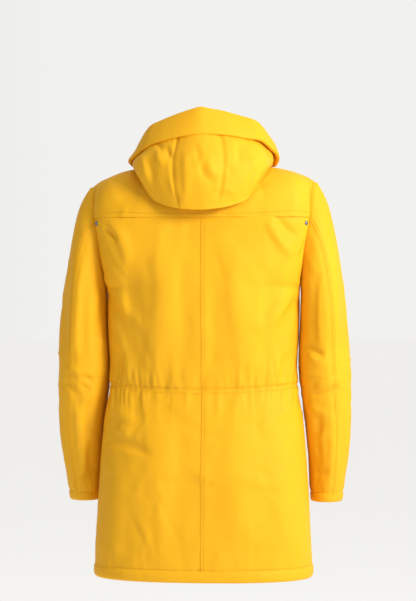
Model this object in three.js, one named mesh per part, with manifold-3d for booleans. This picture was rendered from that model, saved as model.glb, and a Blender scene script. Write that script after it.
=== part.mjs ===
// A hooded rain parka in its worn shape: shell panels, quilted lining, collar, folded-back hood,
// set-in two-piece sleeves, front zip under a studded storm flap, and two patch pockets.
// Millimetres, +Z up. The wearer faces -Y and the wearer's left is +X. The origin is on the centre
// line at the height of the nape, in the plane of the shoulder tips, where a hanger carries the coat.
import * as THREE from "three";
import { mergeVertices } from "three/addons/utils/BufferGeometryUtils.js";
import Module from "manifold-3d";

const wasm = await Module();
wasm.setup();

// ---- Driving dimensions ----
const BACK_LENGTH = 867; // nape to hem
const SHOULDER_DROP = 48; // nape down to the shoulder tip
const YOKE_DROP = 108; // nape down to the yoke seam
const ARMPIT_DROP = 250;
const WAIST_DROP = 460;
const SEAT_DROP = 650;
const SHOULDER_HALF = 237;
const CHEST_HALF = 205;
const WAIST_HALF = 197;
const SEAT_HALF = 216;
const HEM_HALF = 228;
const BACK_YOKE_DEPTH = 112; // shoulder plane to the middle of the back, at each height
const BACK_BLADE_DEPTH = 124;
const BACK_WAIST_DEPTH = 98;
const BACK_SEAT_DEPTH = 122;
const BACK_HEM_DEPTH = 132;
const FRONT_NECK_DEPTH = 112; // the centre front is one straight line, so that the zip can run
const FRONT_HEM_DEPTH = 144;
const ROUNDNESS = 0.83; // exponent of the body's cross-section: 1 is an ellipse, less is squarer
const NECK_HALF = 85;
const NAPE_DEPTH = 63;
const NECK_SIDE_RISE = 12; // the neck's side points stand this far above the nape
const NECK_FRONT_DROP = 72;
const COLLAR_HEIGHT = 62;
const LOOP_TOP = 26; // the hang loop is sewn this high inside the collar
const ARMHOLE_DEPTH = 60; // half the armhole's width, front to back
const SLEEVE_DROP = 703; // nape height down to the cuff's end
const ELBOW_DROP = 437;
const ELBOW_ZONE = 45; // the sleeve creases this far above and below the elbow
const CUFF_BAND = 17;
const HEM_BAND = 23;
const SHELL = 2.2; // outer fabric with its backing
const LINING = 5; // quilted lining
const LINING_OFFSET = 11.5; // outer face of the lining, below the outer face of the shell
const SEAM_GAP = 0.6; // between two sewn edges
const ARMHOLE_GAP = 1.2; // from the armhole's edge out to the sleeve
const CLEAR = 0.35; // between two pieces that lie on each other
const LAYER_GAP = 1.7; // between two curved layers of cloth
const BRIM_WALL = 4;
const FLAP_HALF = 32; // half the storm flap's width
const FLAP_WALL = 3;
const FLAP_LIFT = 8; // room under the storm flap for the zip's slider and pull
const FLAP_TOP = 86;
const ZIP_TOP = 12;
const ZIP_HALF = 15; // half the width of the closed zip
const ZIP_BOTTOM = 800;
const STUD_COUNT = 5;
const STUD_RADIUS = 6.2;
const POCKET_TOP = 520;
const POCKET_HEIGHT = 190;
const POCKET_FLAP_HEIGHT = 62;
const POCKET_DEPTH = 15; // how far the pouch stands off the coat
const RIVET_RADIUS = 4.6;

// ---- Smaller dimensions ----
const FRONT_EDGE = 7; // from the centre front line to each front panel
const CASING_HALF = 15; // half the height of the waist casing
const CASING_END = 60; // from the centre front line to the casing's ends
const CASING_WALL = 1.2;
const ELASTIC_HALF = 9;
const ELASTIC_WALL = 1.4;
const LINING_FRONT = 24; // from the centre front line to the lining
const LINING_SHARE = 0.97; // the part of each panel that the lining covers, from the hem or the centre
const COLLAR_WALL = 5;
const COLLAR_LIFT = 1.8; // from the neck seam up to the collar
const LOOP_HALF = 26;
const LOOP_DROP = 24;
const LOOP_STRAP = 7;
const LOOP_WALL = 1.6;
const LOOP_CORNER = 10;
const SLEEVE_QUILT = 3.2;
const ELBOW_PAD = 3;
const CUFF_WALL = 4.5;
const HOOD_LINING = 1.8;
const HOOD_NECK_WALL = 1.8;
const HOOD_END = 128; // degrees from the middle of the back to the throat
const HOOD_SEAM = 20; // degrees from the middle to the seams of the centre panel
const BACK_SEAM = 0.205; // the turn of the sleeve's two seams
const FRONT_SEAM = 0.74;
const NECK_SHARE = 0.4; // the part of across that ends at the neck seam
const YOKE_SHARE = 0.72; // the part of a whole panel's upward share that ends at the yoke seam
const SHOULDER_ARCH = 7; // how far the shoulder's ridge bows up
const TEETH_HALF = 3.2; // half the width of the closed teeth
const TEETH_FRONT = 1.6; // the teeth, in the front group's depth
const TEETH_BACK = 6.2;
const TEETH_APART = 0.7;
const TAPE_FRONT = 5;
const TAPE_WALL = 1.2;
const SLIDER_DROP = 14; // from the zip's top to the slider's middle
const SLIDER_HEIGHT = 15;
const SLIDER_HALF = 5.4;
const SLIDER_PLATE = 1.5;
const SLIDER_PLAY = 0.5; // from the teeth to the slider's plates
const SLIDER_WEB = 0.35; // half the web that parts the teeth
const PULL_DEPTH = 2.6; // from the slider's face out to the pull's pin, less its face
const FOOT_WALL = 2;
const FLAP_OVERRUN = 12; // the storm flap ends this far below the zip
const STUD_INSET = 12;
const STUD_TOP = 30; // from the flap's ends to the first and last studs
const STUD_LOW = 60;
const STUD_SHANK = 2; // radius of the cap's shank, through the flap
const SOCKET_RADIUS = 4.6;
const POST_RADIUS = 1.6;
const POST_BASE = 1.2;
const POCKET_IN = 0.17; // the pocket's inner and outer edges, as shares across the front
const POCKET_OUT = 0.68;
const POCKET_MARGIN = 0.04; // the pocket flap passes the pouch by this share at the sides
const FLAP_ABOVE = 0.09; // and starts this share above it
const RIVET_ACROSS = 0.86; // share from the centre back to the armhole
const RIVET_DROP = 12; // below the yoke seam

const HEM_Z = -BACK_LENGTH;
const WAIST_Z = -WAIST_DROP;
const YOKE_Z = -YOKE_DROP;
const ARMPIT_Z = -ARMPIT_DROP;
const TIP_Z = -SHOULDER_DROP;
const SLOPE = (FRONT_HEM_DEPTH - FRONT_NECK_DEPTH) / BACK_LENGTH;
const NECK_FRONT_Y = -(FRONT_NECK_DEPTH + SLOPE * NECK_FRONT_DROP);
const NECK_MID_Y = (NAPE_DEPTH + NECK_FRONT_Y) / 2;
const NECK_RADIUS_Y = (NAPE_DEPTH - NECK_FRONT_Y) / 2;

const YELLOW = 0xffc21c;
const shellCloth = new THREE.MeshStandardMaterial({ color: YELLOW, roughness: 0.62, metalness: 0 });
const liningCloth = new THREE.MeshStandardMaterial({ color: 0x2b3140, roughness: 0.8, metalness: 0 });
const tapeCloth = new THREE.MeshStandardMaterial({ color: 0xd99a12, roughness: 0.75, metalness: 0 });
const gunmetal = new THREE.MeshStandardMaterial({ color: 0x6c7076, roughness: 0.35, metalness: 1 });

const coat = new THREE.Group();

// ---- Curves ----

// A smooth curve through [key, value] pairs in rising key order; a value is a number or [x, y, z].
function through(pairs) {
  const rows = pairs.map(([key, value]) => [key, [value].flat()]);
  return (key) => {
    const last = rows.length - 2;
    let i = 0;
    while (i < last && key > rows[i + 1][0]) i++;
    const [k0, a] = rows[i];
    const [k1, b] = rows[i + 1];
    const span = k1 - k0;
    const t = THREE.MathUtils.clamp((key - k0) / span, 0, 1);
    const before = rows[Math.max(i - 1, 0)];
    const after = rows[Math.min(i + 2, last + 1)];
    const value = a.map((from, c) => {
      const to = b[c];
      const slopeIn = i === 0 ? (to - from) / span : (to - before[1][c]) / (k1 - before[0]);
      const slopeOut = i === last ? (to - from) / span : (after[1][c] - from) / (after[0] - k0);
      const t2 = t * t;
      const t3 = t2 * t;
      return (
        (2 * t3 - 3 * t2 + 1) * from +
        (t3 - 2 * t2 + t) * span * slopeIn +
        (3 * t2 - 2 * t3) * to +
        (t3 - t2) * span * slopeOut
      );
    });
    return value.length === 1 ? value[0] : new THREE.Vector3(...value);
  };
}

const sideHalf = through([
  [HEM_Z, HEM_HALF],
  [-SEAT_DROP, SEAT_HALF],
  [WAIST_Z, WAIST_HALF],
  [ARMPIT_Z, CHEST_HALF],
]);
const backDepth = through([
  [HEM_Z, BACK_HEM_DEPTH],
  [-SEAT_DROP, BACK_SEAT_DEPTH],
  [WAIST_Z, BACK_WAIST_DEPTH],
  [ARMPIT_Z, BACK_BLADE_DEPTH],
  [YOKE_Z, BACK_YOKE_DEPTH],
]);
const frontDepth = (z) => FRONT_NECK_DEPTH - SLOPE * z;

// Half the body's width at a height: to the side seam, or to the armhole above the armpit.
function edgeHalf(z) {
  if (z <= ARMPIT_Z) return sideHalf(z);
  return CHEST_HALF + ((SHOULDER_HALF - CHEST_HALF) * (z - ARMPIT_Z)) / (TIP_Z - ARMPIT_Z);
}

// How far the armhole's edge lies in front of or behind the shoulder plane.
function armholeAt(z) {
  const middle = (ARMPIT_Z + TIP_Z) / 2;
  const share = (z - middle) / ((TIP_Z - ARMPIT_Z) / 2);
  return z <= ARMPIT_Z ? 0 : ARMHOLE_DEPTH * Math.sqrt(Math.max(0, 1 - share * share));
}

// ---- Body surface ----
// across runs from 0 at the centre line to 1 at the side seam or armhole, negative on the right.

function bodyAt(side, across, z) {
  const angle = (Math.abs(across) * Math.PI) / 2;
  const edge = armholeAt(z);
  const depth = side > 0 ? backDepth(z) : frontDepth(z);
  const x = edgeHalf(z) * Math.sin(angle) ** ROUNDNESS;
  const y = edge + (depth - edge) * Math.max(Math.cos(angle), 0) ** ROUNDNESS;
  return new THREE.Vector3(Math.sign(across) * x, side * y, z);
}

function acrossAt(x, z) {
  return (Math.asin((x / edgeHalf(z)) ** (1 / ROUNDNESS)) * 2) / Math.PI;
}

// The neck seam, by its angle from the nape.
function neckAt(angle, outward = 0, up = 0) {
  const middle = (NECK_SIDE_RISE * 2 - NECK_FRONT_DROP) / 4;
  const tilt = NECK_FRONT_DROP / 2;
  const z = middle + tilt * Math.cos(angle) + (middle - NECK_SIDE_RISE) * Math.cos(2 * angle);
  return new THREE.Vector3(
    (NECK_HALF + outward) * Math.sin(angle),
    NECK_MID_Y + (NECK_RADIUS_Y + outward) * Math.cos(angle),
    z + up,
  );
}

function topAt(side, across) {
  const share = Math.abs(across);
  const mirror = Math.sign(across) || 1;
  if (share <= NECK_SHARE) {
    const quarter = ((share / NECK_SHARE) * Math.PI) / 2;
    const point = neckAt(side > 0 ? quarter : Math.PI - quarter);
    point.x *= mirror;
    return point;
  }
  const along = (share - NECK_SHARE) / (1 - NECK_SHARE);
  const point = neckAt(Math.PI / 2).lerp(new THREE.Vector3(SHOULDER_HALF, 0, TIP_Z), along);
  point.z += SHOULDER_ARCH * Math.sin(Math.PI * along);
  point.x *= mirror;
  return point;
}

// The yoke, from the yoke seam (rise 0) over the shoulder to its ridge, or to the neck (rise 1).
function yokeAt(side, across, rise) {
  const low = bodyAt(side, across, YOKE_Z);
  const high = topAt(side, across);
  const shoulder = THREE.MathUtils.smoothstep(Math.abs(across), 0.15, 0.75);
  const edge = THREE.MathUtils.smoothstep(Math.abs(across), 0.8, 1);
  const straight = side > 0 ? 0 : 1 - THREE.MathUtils.smoothstep(Math.abs(across), 0.05, 0.3);
  const domed = low.y * THREE.MathUtils.lerp(0.97, 0.74, edge);
  const bend = new THREE.Vector3(
    THREE.MathUtils.lerp(low.x, high.x, 0.4),
    THREE.MathUtils.lerp(domed, (low.y + high.y) / 2, straight),
    THREE.MathUtils.lerp(THREE.MathUtils.lerp(low.z, high.z, 0.62), high.z, shoulder),
  );
  return low
    .multiplyScalar((1 - rise) ** 2)
    .addScaledVector(bend, 2 * rise * (1 - rise))
    .addScaledVector(high, rise * rise);
}

// The whole back or front by one upward share: 0 at low z, 1 at the ridge or neck.
function wholeAt(side, lowZ) {
  return (across, up) =>
    up < YOKE_SHARE
      ? bodyAt(side, across, THREE.MathUtils.lerp(lowZ, YOKE_Z, up / YOKE_SHARE))
      : yokeAt(side, across, (up - YOKE_SHARE) / (1 - YOKE_SHARE));
}

// Round the body below the armpit: angle 0 at the centre back, pi at the centre front.
function aroundAt(angle, z) {
  const share = (Math.abs(angle) * 2) / Math.PI;
  const mirror = Math.sign(angle) || 1;
  return share <= 1 ? bodyAt(1, mirror * share, z) : bodyAt(-1, mirror * (2 - share), z);
}

// ---- Shells ----

// A value held at least one step inside its range.
function kept(value, from, to, step) {
  const inset = Math.abs(step);
  return THREE.MathUtils.clamp(value, Math.min(from, to) + inset, Math.max(from, to) - inset);
}

// A closed shell over at(u, v), from outer to inner along the surface's normal. facing picks which
// side is out; a looped shell joins its last column to its first.
function shellOf(at, uRange, vRange, outer, inner, facing, looped = false) {
  const [u0, u1, columns] = uRange;
  const [v0, v1, rows] = vRange;
  const wide = looped ? columns : columns + 1;
  const points = [];
  const step = 1e-3;
  for (const offset of [outer, inner])
    for (let row = 0; row <= rows; row++)
      for (let column = 0; column < wide; column++) {
        const u = THREE.MathUtils.lerp(u0, u1, column / columns);
        const v = THREE.MathUtils.lerp(v0, v1, row / rows);
        const du = (u1 - u0) * step;
        const dv = (v1 - v0) * step;
        const uBase = looped ? u : kept(u, u0, u1, du);
        const vBase = kept(v, v0, v1, dv);
        const alongU = at(uBase + du, vBase).sub(at(uBase - du, vBase));
        const alongV = at(uBase, vBase + dv).sub(at(uBase, vBase - dv));
        const normal = alongU.cross(alongV).normalize().multiplyScalar(facing);
        points.push(at(u, v).addScaledVector(normal, offset));
      }
  const layer = wide * (rows + 1);
  const index = (deep, row, column) => deep * layer + row * wide + (column % wide);
  const faces = [];
  const quad = (...corners) => {
    const [a, b, c, d] = corners.map((corner) => index(...corner));
    faces.push(a, b, c, a, c, d);
  };
  for (let row = 0; row < rows; row++)
    for (let column = 0; column < columns; column++) {
      const [up, over] = [row + 1, column + 1];
      quad([0, row, column], [0, row, over], [0, up, over], [0, up, column]);
      quad([1, row, column], [1, up, column], [1, up, over], [1, row, over]);
    }
  for (let column = 0; column < columns; column++) {
    const over = column + 1;
    quad([0, 0, column], [1, 0, column], [1, 0, over], [0, 0, over]);
    quad([0, rows, column], [0, rows, over], [1, rows, over], [1, rows, column]);
  }
  for (let row = 0; row < rows && !looped; row++) {
    const up = row + 1;
    quad([0, row, 0], [0, up, 0], [1, up, 0], [1, row, 0]);
    quad([0, row, columns], [1, row, columns], [1, up, columns], [0, up, columns]);
  }
  const geometry = new THREE.BufferGeometry();
  geometry.setAttribute("position", new THREE.Float32BufferAttribute(points.flatMap((p) => p.toArray()), 3));
  geometry.setIndex(volumeOf(points, faces) < 0 ? faces.reverse() : faces);
  geometry.computeVertexNormals();
  return geometry;
}

function volumeOf(points, faces) {
  let sum = 0;
  for (let i = 0; i < faces.length; i += 3) {
    const [a, b, c] = [0, 1, 2].map((k) => points[faces[i + k]]);
    sum += a.dot(b.clone().cross(c));
  }
  return sum;
}

function add(name, geometry, material, parent = coat) {
  const mesh = new THREE.Mesh(geometry, material);
  mesh.name = name;
  parent.add(mesh);
  return mesh;
}

// Joins closed geometries into one.
function joined(...geometries) {
  const solids = geometries.map((geometry) => {
    const bare = geometry.clone();
    bare.deleteAttribute("normal");
    bare.deleteAttribute("uv");
    const merged = mergeVertices(bare, 1e-4);
    const vertProperties = merged.attributes.position.array;
    const triVerts = new Uint32Array(merged.index.array);
    return new wasm.Manifold(new wasm.Mesh({ numProp: 3, vertProperties, triVerts }));
  });
  const mesh = solids.reduce((sum, solid) => sum.add(solid)).getMesh();
  const geometry = new THREE.BufferGeometry();
  geometry.setAttribute("position", new THREE.BufferAttribute(mesh.vertProperties, 3));
  geometry.setIndex(new THREE.BufferAttribute(mesh.triVerts, 1));
  geometry.computeVertexNormals();
  return geometry;
}

function boxFrom(low, high) {
  const size = high.map((value, axis) => value - low[axis]);
  const middle = high.map((value, axis) => (value + low[axis]) / 2);
  return new THREE.BoxGeometry(...size).translate(...middle);
}

const SIDES = [
  ["left", 1],
  ["right", -1],
];

// ---- Body panels ----

function addBodyPanels() {
  const edgeShare = 1 - SEAM_GAP / (2 * CHEST_HALF);
  const centreShare = acrossAt(SEAM_GAP / 2, WAIST_Z);
  const frontShare = acrossAt(FRONT_EDGE, WAIST_Z);
  const yokeLow = SEAM_GAP / 2 / YOKE_DROP;
  const yoke = (u, v) => yokeAt(1, u, v);
  const wide = [-edgeShare, edgeShare, 18];
  add("back_yoke", shellOf(yoke, wide, [yokeLow, 0.99, 4], 0, -SHELL, -1), shellCloth);
  const frontUp = wholeAt(-1, WAIST_Z + SEAM_GAP);
  const backAcross = [centreShare, edgeShare, 9];
  const frontAcross = [frontShare, edgeShare, 9];
  const upper = [WAIST_Z + SEAM_GAP, YOKE_Z - SEAM_GAP / 2, 6];
  const skirt = [HEM_Z + HEM_BAND + SEAM_GAP, WAIST_Z - SEAM_GAP, 5];
  for (const [side, mirror] of SIDES) {
    const back = (u, z) => bodyAt(1, mirror * u, z);
    const front = (u, z) => bodyAt(-1, mirror * u, z);
    const frontUpper = (u, v) => frontUp(mirror * u, v);
    const panels = [
      ["back_upper", back, backAcross, upper, -mirror],
      ["back_skirt", back, backAcross, skirt, -mirror],
      ["front_upper", frontUpper, frontAcross, [0, 0.99, 9], mirror],
      ["front_skirt", front, frontAcross, skirt, mirror],
    ];
    for (const [name, at, across, along, facing] of panels)
      add(`${name}_${side}`, shellOf(at, across, along, 0, -SHELL, facing), shellCloth);
  }
}

function addBandsAndLining() {
  const angleAt = (x, z) => Math.PI - (acrossAt(x, z) * Math.PI) / 2;
  const band = (name, end, columns, low, high, outer, wall, material) => {
    const around = [-end, end, columns];
    add(name, shellOf(aroundAt, around, [low, high, 1], outer, outer - wall, -1), material);
  };
  const hemTop = HEM_Z + HEM_BAND;
  band("hem_band", angleAt(FRONT_EDGE, HEM_Z), 32, HEM_Z, hemTop, 0, LINING_OFFSET, shellCloth);
  const casingOut = -SHELL - LAYER_GAP;
  const casingEnd = angleAt(CASING_END, WAIST_Z);
  const casing = [WAIST_Z - CASING_HALF, WAIST_Z + CASING_HALF, casingOut, CASING_WALL];
  band("waist_casing", casingEnd, 28, ...casing, shellCloth);
  const elasticOut = casingOut - CASING_WALL - LAYER_GAP;
  const elastic = [WAIST_Z - ELASTIC_HALF, WAIST_Z + ELASTIC_HALF, elasticOut, ELASTIC_WALL];
  band("waist_elastic", Math.PI / 2, 16, ...elastic, tapeCloth);

  const up = [0, LINING_SHARE, 8];
  const quilt = [-LINING_OFFSET, -LINING_OFFSET - LINING];
  const liningLow = hemTop + SEAM_GAP;
  const backAcross = [-LINING_SHARE, LINING_SHARE, 16];
  add("back_lining", shellOf(wholeAt(1, liningLow), backAcross, up, ...quilt, -1), liningCloth);
  const frontAcross = [acrossAt(LINING_FRONT, WAIST_Z), LINING_SHARE, 8];
  const frontLining = wholeAt(-1, liningLow);
  for (const [side, mirror] of SIDES) {
    const at = (u, v) => frontLining(mirror * u, v);
    add(`front_lining_${side}`, shellOf(at, frontAcross, up, ...quilt, mirror), liningCloth);
  }
}

function addCollar() {
  const frontAngle = Math.PI - Math.asin((ZIP_HALF + 1.5) / NECK_HALF);
  const around = [-frontAngle, frontAngle, 26];
  const collarAt = (angle, up) => neckAt(angle, -2 * (up / COLLAR_HEIGHT), COLLAR_LIFT + up);
  const collar = shellOf(collarAt, around, [0, COLLAR_HEIGHT, 1], 0, -COLLAR_WALL, -1);
  add("collar_stand", collar, shellCloth);

  const inner = LOOP_HALF - LOOP_STRAP;
  const bar = -LOOP_DROP + LOOP_STRAP;
  const bevel = 4;
  const loop = new THREE.Shape();
  loop.moveTo(-LOOP_HALF, 0);
  loop.lineTo(-LOOP_HALF, -LOOP_DROP + LOOP_CORNER);
  loop.quadraticCurveTo(-LOOP_HALF, -LOOP_DROP, -LOOP_HALF + LOOP_CORNER, -LOOP_DROP);
  loop.lineTo(LOOP_HALF - LOOP_CORNER, -LOOP_DROP);
  loop.quadraticCurveTo(LOOP_HALF, -LOOP_DROP, LOOP_HALF, -LOOP_DROP + LOOP_CORNER);
  loop.lineTo(LOOP_HALF, 0);
  loop.lineTo(inner, 0);
  loop.lineTo(inner, bar + bevel);
  loop.lineTo(inner - bevel, bar);
  loop.lineTo(-inner + bevel, bar);
  loop.lineTo(-inner, bar + bevel);
  loop.lineTo(-inner, 0);
  loop.closePath();
  const settings = { depth: LOOP_WALL, bevelEnabled: false, curveSegments: 3 };
  const flat = new THREE.ExtrudeGeometry(loop, settings);
  flat.rotateX(Math.PI / 2);
  const behind = 5; // from the loop's tape to the collar's inner face
  const loopDepth = NAPE_DEPTH - COLLAR_WALL - LOOP_WALL - behind;
  add("hang_loop", flat, tapeCloth).position.set(0, loopDepth, LOOP_TOP);
}

// ---- Sleeves ----

// Where the sleeve's outer and inner edges run in the shoulder plane, its half depth, and how far
// forward its middle lies, from the armhole (0) to the cuff (6); the elbow is at 4.
const OUTER_EDGE = through([
  [0, [SHOULDER_HALF + ARMHOLE_GAP, 0, TIP_Z]],
  [1, [SHOULDER_HALF + 29, 0, TIP_Z - 60]],
  [2, [SHOULDER_HALF + 48, 0, TIP_Z - 155]],
  [3, [SHOULDER_HALF + 61, 0, -310]],
  [4, [SHOULDER_HALF + 69, 0, -ELBOW_DROP]],
  [5, [SHOULDER_HALF + 67, 0, -(ELBOW_DROP + SLEEVE_DROP) / 2]],
  [6, [SHOULDER_HALF + 50, 0, -SLEEVE_DROP]],
]);
const INNER_EDGE = through([
  [0, [CHEST_HALF + ARMHOLE_GAP, 0, ARMPIT_Z]],
  [1, [CHEST_HALF + 2, 0, ARMPIT_Z - 8]],
  [2, [CHEST_HALF + 3, 0, ARMPIT_Z - 25]],
  [3, [CHEST_HALF + 4, 0, ARMPIT_Z - 85]],
  [4, [CHEST_HALF + 4, 0, -ELBOW_DROP]],
  [5, [CHEST_HALF + 12, 0, -(ELBOW_DROP + SLEEVE_DROP) / 2]],
  [6, [CHEST_HALF + 14, 0, -SLEEVE_DROP]],
]);
const HALF_DEPTH = through([
  [0, ARMHOLE_DEPTH],
  [1, ARMHOLE_DEPTH + 8],
  [2, ARMHOLE_DEPTH + 12],
  [3, ARMHOLE_DEPTH + 9],
  [4, ARMHOLE_DEPTH + 2],
  [5, ARMHOLE_DEPTH - 6],
  [6, ARMHOLE_DEPTH - 14],
]);
const FORWARD = through([
  [0, 0],
  [2, 2],
  [3, 5],
  [4, 12],
  [5, 36],
  [6, 62],
]);

// turn is 0 at the outer edge, a quarter at the back, a half at the body.
function sleeveAt(mirror) {
  return (turn, along) => {
    const outer = OUTER_EDGE(along);
    const inner = INNER_EDGE(along);
    const angle = turn * 2 * Math.PI;
    const point = outer.clone().add(inner).multiplyScalar(0.5);
    point.addScaledVector(outer.sub(inner), Math.cos(angle) / 2);
    point.y = HALF_DEPTH(along) * Math.sin(angle) - FORWARD(along);
    point.x *= mirror;
    return point;
  };
}

function addSleeves() {
  const lowerLength = (SLEEVE_DROP - ELBOW_DROP) / 2;
  const cuffShare = 6 - CUFF_BAND / lowerLength;
  const elbowTop = 4 - ELBOW_ZONE / (ELBOW_DROP - 310);
  const elbowLow = 4 + ELBOW_ZONE / lowerLength;
  const halfGap = 0.0012;
  for (const [side, mirror] of SIDES) {
    const at = sleeveAt(mirror);
    const top = [FRONT_SEAM - 1 + halfGap, BACK_SEAM - halfGap, 7];
    const under = [BACK_SEAM + halfGap, FRONT_SEAM - halfGap, 8];
    const upper = [0.01, elbowTop - 0.005, 7];
    const lower = [elbowLow + 0.005, cuffShare - 0.005, 3];
    const panels = [
      ["sleeve_top_upper", top, upper],
      ["sleeve_under_upper", under, upper],
      ["sleeve_top_lower", top, lower],
      ["sleeve_under_lower", under, lower],
    ];
    for (const [name, turns, lengths] of panels)
      add(`${name}_${side}`, shellOf(at, turns, lengths, 0, -SHELL, -mirror), shellCloth);
    const inside = -SHELL - LAYER_GAP;
    const rings = [
      ["sleeve_elbow", 14, [elbowTop, elbowLow, 3], 0, SHELL + ELBOW_PAD, shellCloth],
      ["sleeve_lining_upper", 14, [0.12, elbowTop - 0.02, 4], inside, SLEEVE_QUILT, liningCloth],
      ["sleeve_lining_lower", 14, [elbowLow + 0.01, cuffShare - 0.02, 2], inside, SLEEVE_QUILT, liningCloth],
      ["cuff_band", 16, [cuffShare, 6, 1], 0, CUFF_WALL, shellCloth],
    ];
    for (const [name, columns, along, outer, wall, cloth] of rings) {
      const ring = shellOf(at, [0, 1, columns], along, outer, outer - wall, -mirror, true);
      add(`${name}_${side}`, ring, cloth);
    }
  }
}

// ---- Hood, hanging down the back ----
// Each line runs from the middle of the back (0 degrees) round the neck to the throat. A line is
// free down the back, and lies on the shoulders where they would come nearer than its rest.

const HOOD_LINES = {
  fold: [
    [0, [0, 92, 120]],
    [45, [93, 66, 95]],
    [65, [129, 35, 56]],
    [90, [147, -15, 26]],
    [HOOD_END, [94, -92, -20]],
  ],
  brimEdge: [
    [0, [0, 124, 64]],
    [45, [113, 90, 49]],
    [65, [149, 46, 29]],
    [90, [161, -14, 8]],
    [HOOD_END, [106, -100, -34]],
  ],
  wallTop: [
    [0, [0, 89.2, 115.4]],
    [45, [89, 61, 88]],
    [65, [124, 31, 49]],
    [90, [138, -14, 18]],
    [HOOD_END, [86, -80, -22]],
  ],
  wallHigh: [
    [0, [0, 112, 72]],
    [45, [100, 80, 56]],
    [65, [131, 43, 31]],
    [90, [142, -13, 12]],
    [HOOD_END, [89, -82, -26]],
  ],
  wallLow: [
    [0, [0, 150, 0]],
    [45, [118, 112, -6]],
    [65, [144, 66, 0]],
    [90, [145, -12, 7]],
    [HOOD_END, [91, -84, -29]],
  ],
  bottom: [
    [0, [0, 146, -94]],
    [45, [104, 118, -74]],
    [65, [137, 80, -36]],
    [90, [146, -10, 2]],
    [HOOD_END, [92, -86, -33]],
  ],
  returnLow: [
    [0, [0, 124, -58]],
    [45, [92, 103, -42]],
    [65, [122, 64, -6]],
    [90, [122, -12, 8]],
    [HOOD_END, [88, -84, -33]],
  ],
};
const REST = { fold: 27, brimEdge: 14, wallTop: 17, wallHigh: 13, wallLow: 8, bottom: 4, returnLow: 3 };
const LINE = Object.fromEntries(
  Object.entries(HOOD_LINES).map(([name, pairs]) => {
    const [angle, [x, y, z]] = pairs[1];
    return [name, through([[-angle, [-x, y, z]], ...pairs])];
  }),
);

// The height of the shoulder's surface over a point, found by Newton's steps on the yoke.
function shoulderHeight(x, y) {
  const side = y < 0 ? -1 : 1;
  const step = 1e-3;
  let across = THREE.MathUtils.clamp(Math.abs(x) / SHOULDER_HALF, 0.05, 0.95);
  let rise = 0.6;
  for (let i = 0; i < 12; i++) {
    const at = yokeAt(side, across, rise);
    const alongA = yokeAt(side, across + step, rise).sub(at).divideScalar(step);
    const alongR = yokeAt(side, across, rise + step).sub(at).divideScalar(step);
    const det = alongA.x * alongR.y - alongA.y * alongR.x;
    const [dx, dy] = [Math.abs(x) - at.x, y - at.y];
    across = THREE.MathUtils.clamp(across + (dx * alongR.y - dy * alongR.x) / det, 0.02, 0.98);
    rise = THREE.MathUtils.clamp(rise + (dy * alongA.x - dx * alongA.y) / det, 0, 1);
  }
  return yokeAt(side, across, rise).z;
}

// A hood surface by its angle in degrees, negative on the right, and its share from first line to last.
function hoodAt(names, neckEnd = false) {
  return (angle, share) => {
    const stations = names.map((name) => {
      const point = LINE[name](Math.abs(angle));
      const resting = shoulderHeight(point.x, point.y) + REST[name];
      point.z = Math.max(point.z, resting);
      return point;
    });
    if (neckEnd) stations.push(neckAt(THREE.MathUtils.degToRad(Math.abs(angle)), 1.1, 5));
    const point = through(stations.map((p, i) => [i / (stations.length - 1), p.toArray()]))(share);
    if (angle < 0) point.x = -point.x;
    return point;
  };
}

function addHood() {
  const wall = hoodAt(["wallTop", "wallHigh", "wallLow", "bottom"]);
  const halfGap = 0.2;
  const wallRows = [0, 0.97, 7];
  const centre = [-HOOD_SEAM + halfGap, HOOD_SEAM - halfGap, 6];
  add("hood_centre", shellOf(wall, centre, wallRows, 0, -SHELL, 1), shellCloth);
  const beside = [HOOD_SEAM + halfGap, HOOD_END, 9];
  for (const [side, mirror] of SIDES) {
    const at = (u, v) => wall(mirror * u, v);
    add(`hood_${side}`, shellOf(at, beside, wallRows, 0, -SHELL, mirror), shellCloth);
  }
  const inside = -SHELL - 2 * LAYER_GAP;
  const lining = shellOf(wall, [-72, 72, 12], [0.12, 0.82, 4], inside, inside - HOOD_LINING, 1);
  add("hood_lining", lining, liningCloth);
  const brim = hoodAt(["fold", "brimEdge"]);
  const brimShell = shellOf(brim, [-HOOD_END, HOOD_END, 24], [0, 1, 1], 0, -BRIM_WALL, 1);
  add("hood_brim", brimShell, shellCloth);
  const neck = hoodAt(["bottom", "returnLow"], true);
  add("hood_neck", shellOf(neck, [-88, 88, 16], [0.16, 1, 4], 0, -HOOD_NECK_WALL, 1), shellCloth);
}

// ---- Centre front: zip, slider, storm flap and studs ----
// The group's Z runs up the centre front line and its Y points into the coat.

const front = new THREE.Group();
front.position.set(0, -FRONT_NECK_DEPTH, 0);
front.rotation.x = -Math.atan(SLOPE);
coat.add(front);

function lathe(profile, segments = 12) {
  return new THREE.LatheGeometry(profile.map(([r, h]) => new THREE.Vector2(r, h)), segments);
}

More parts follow.
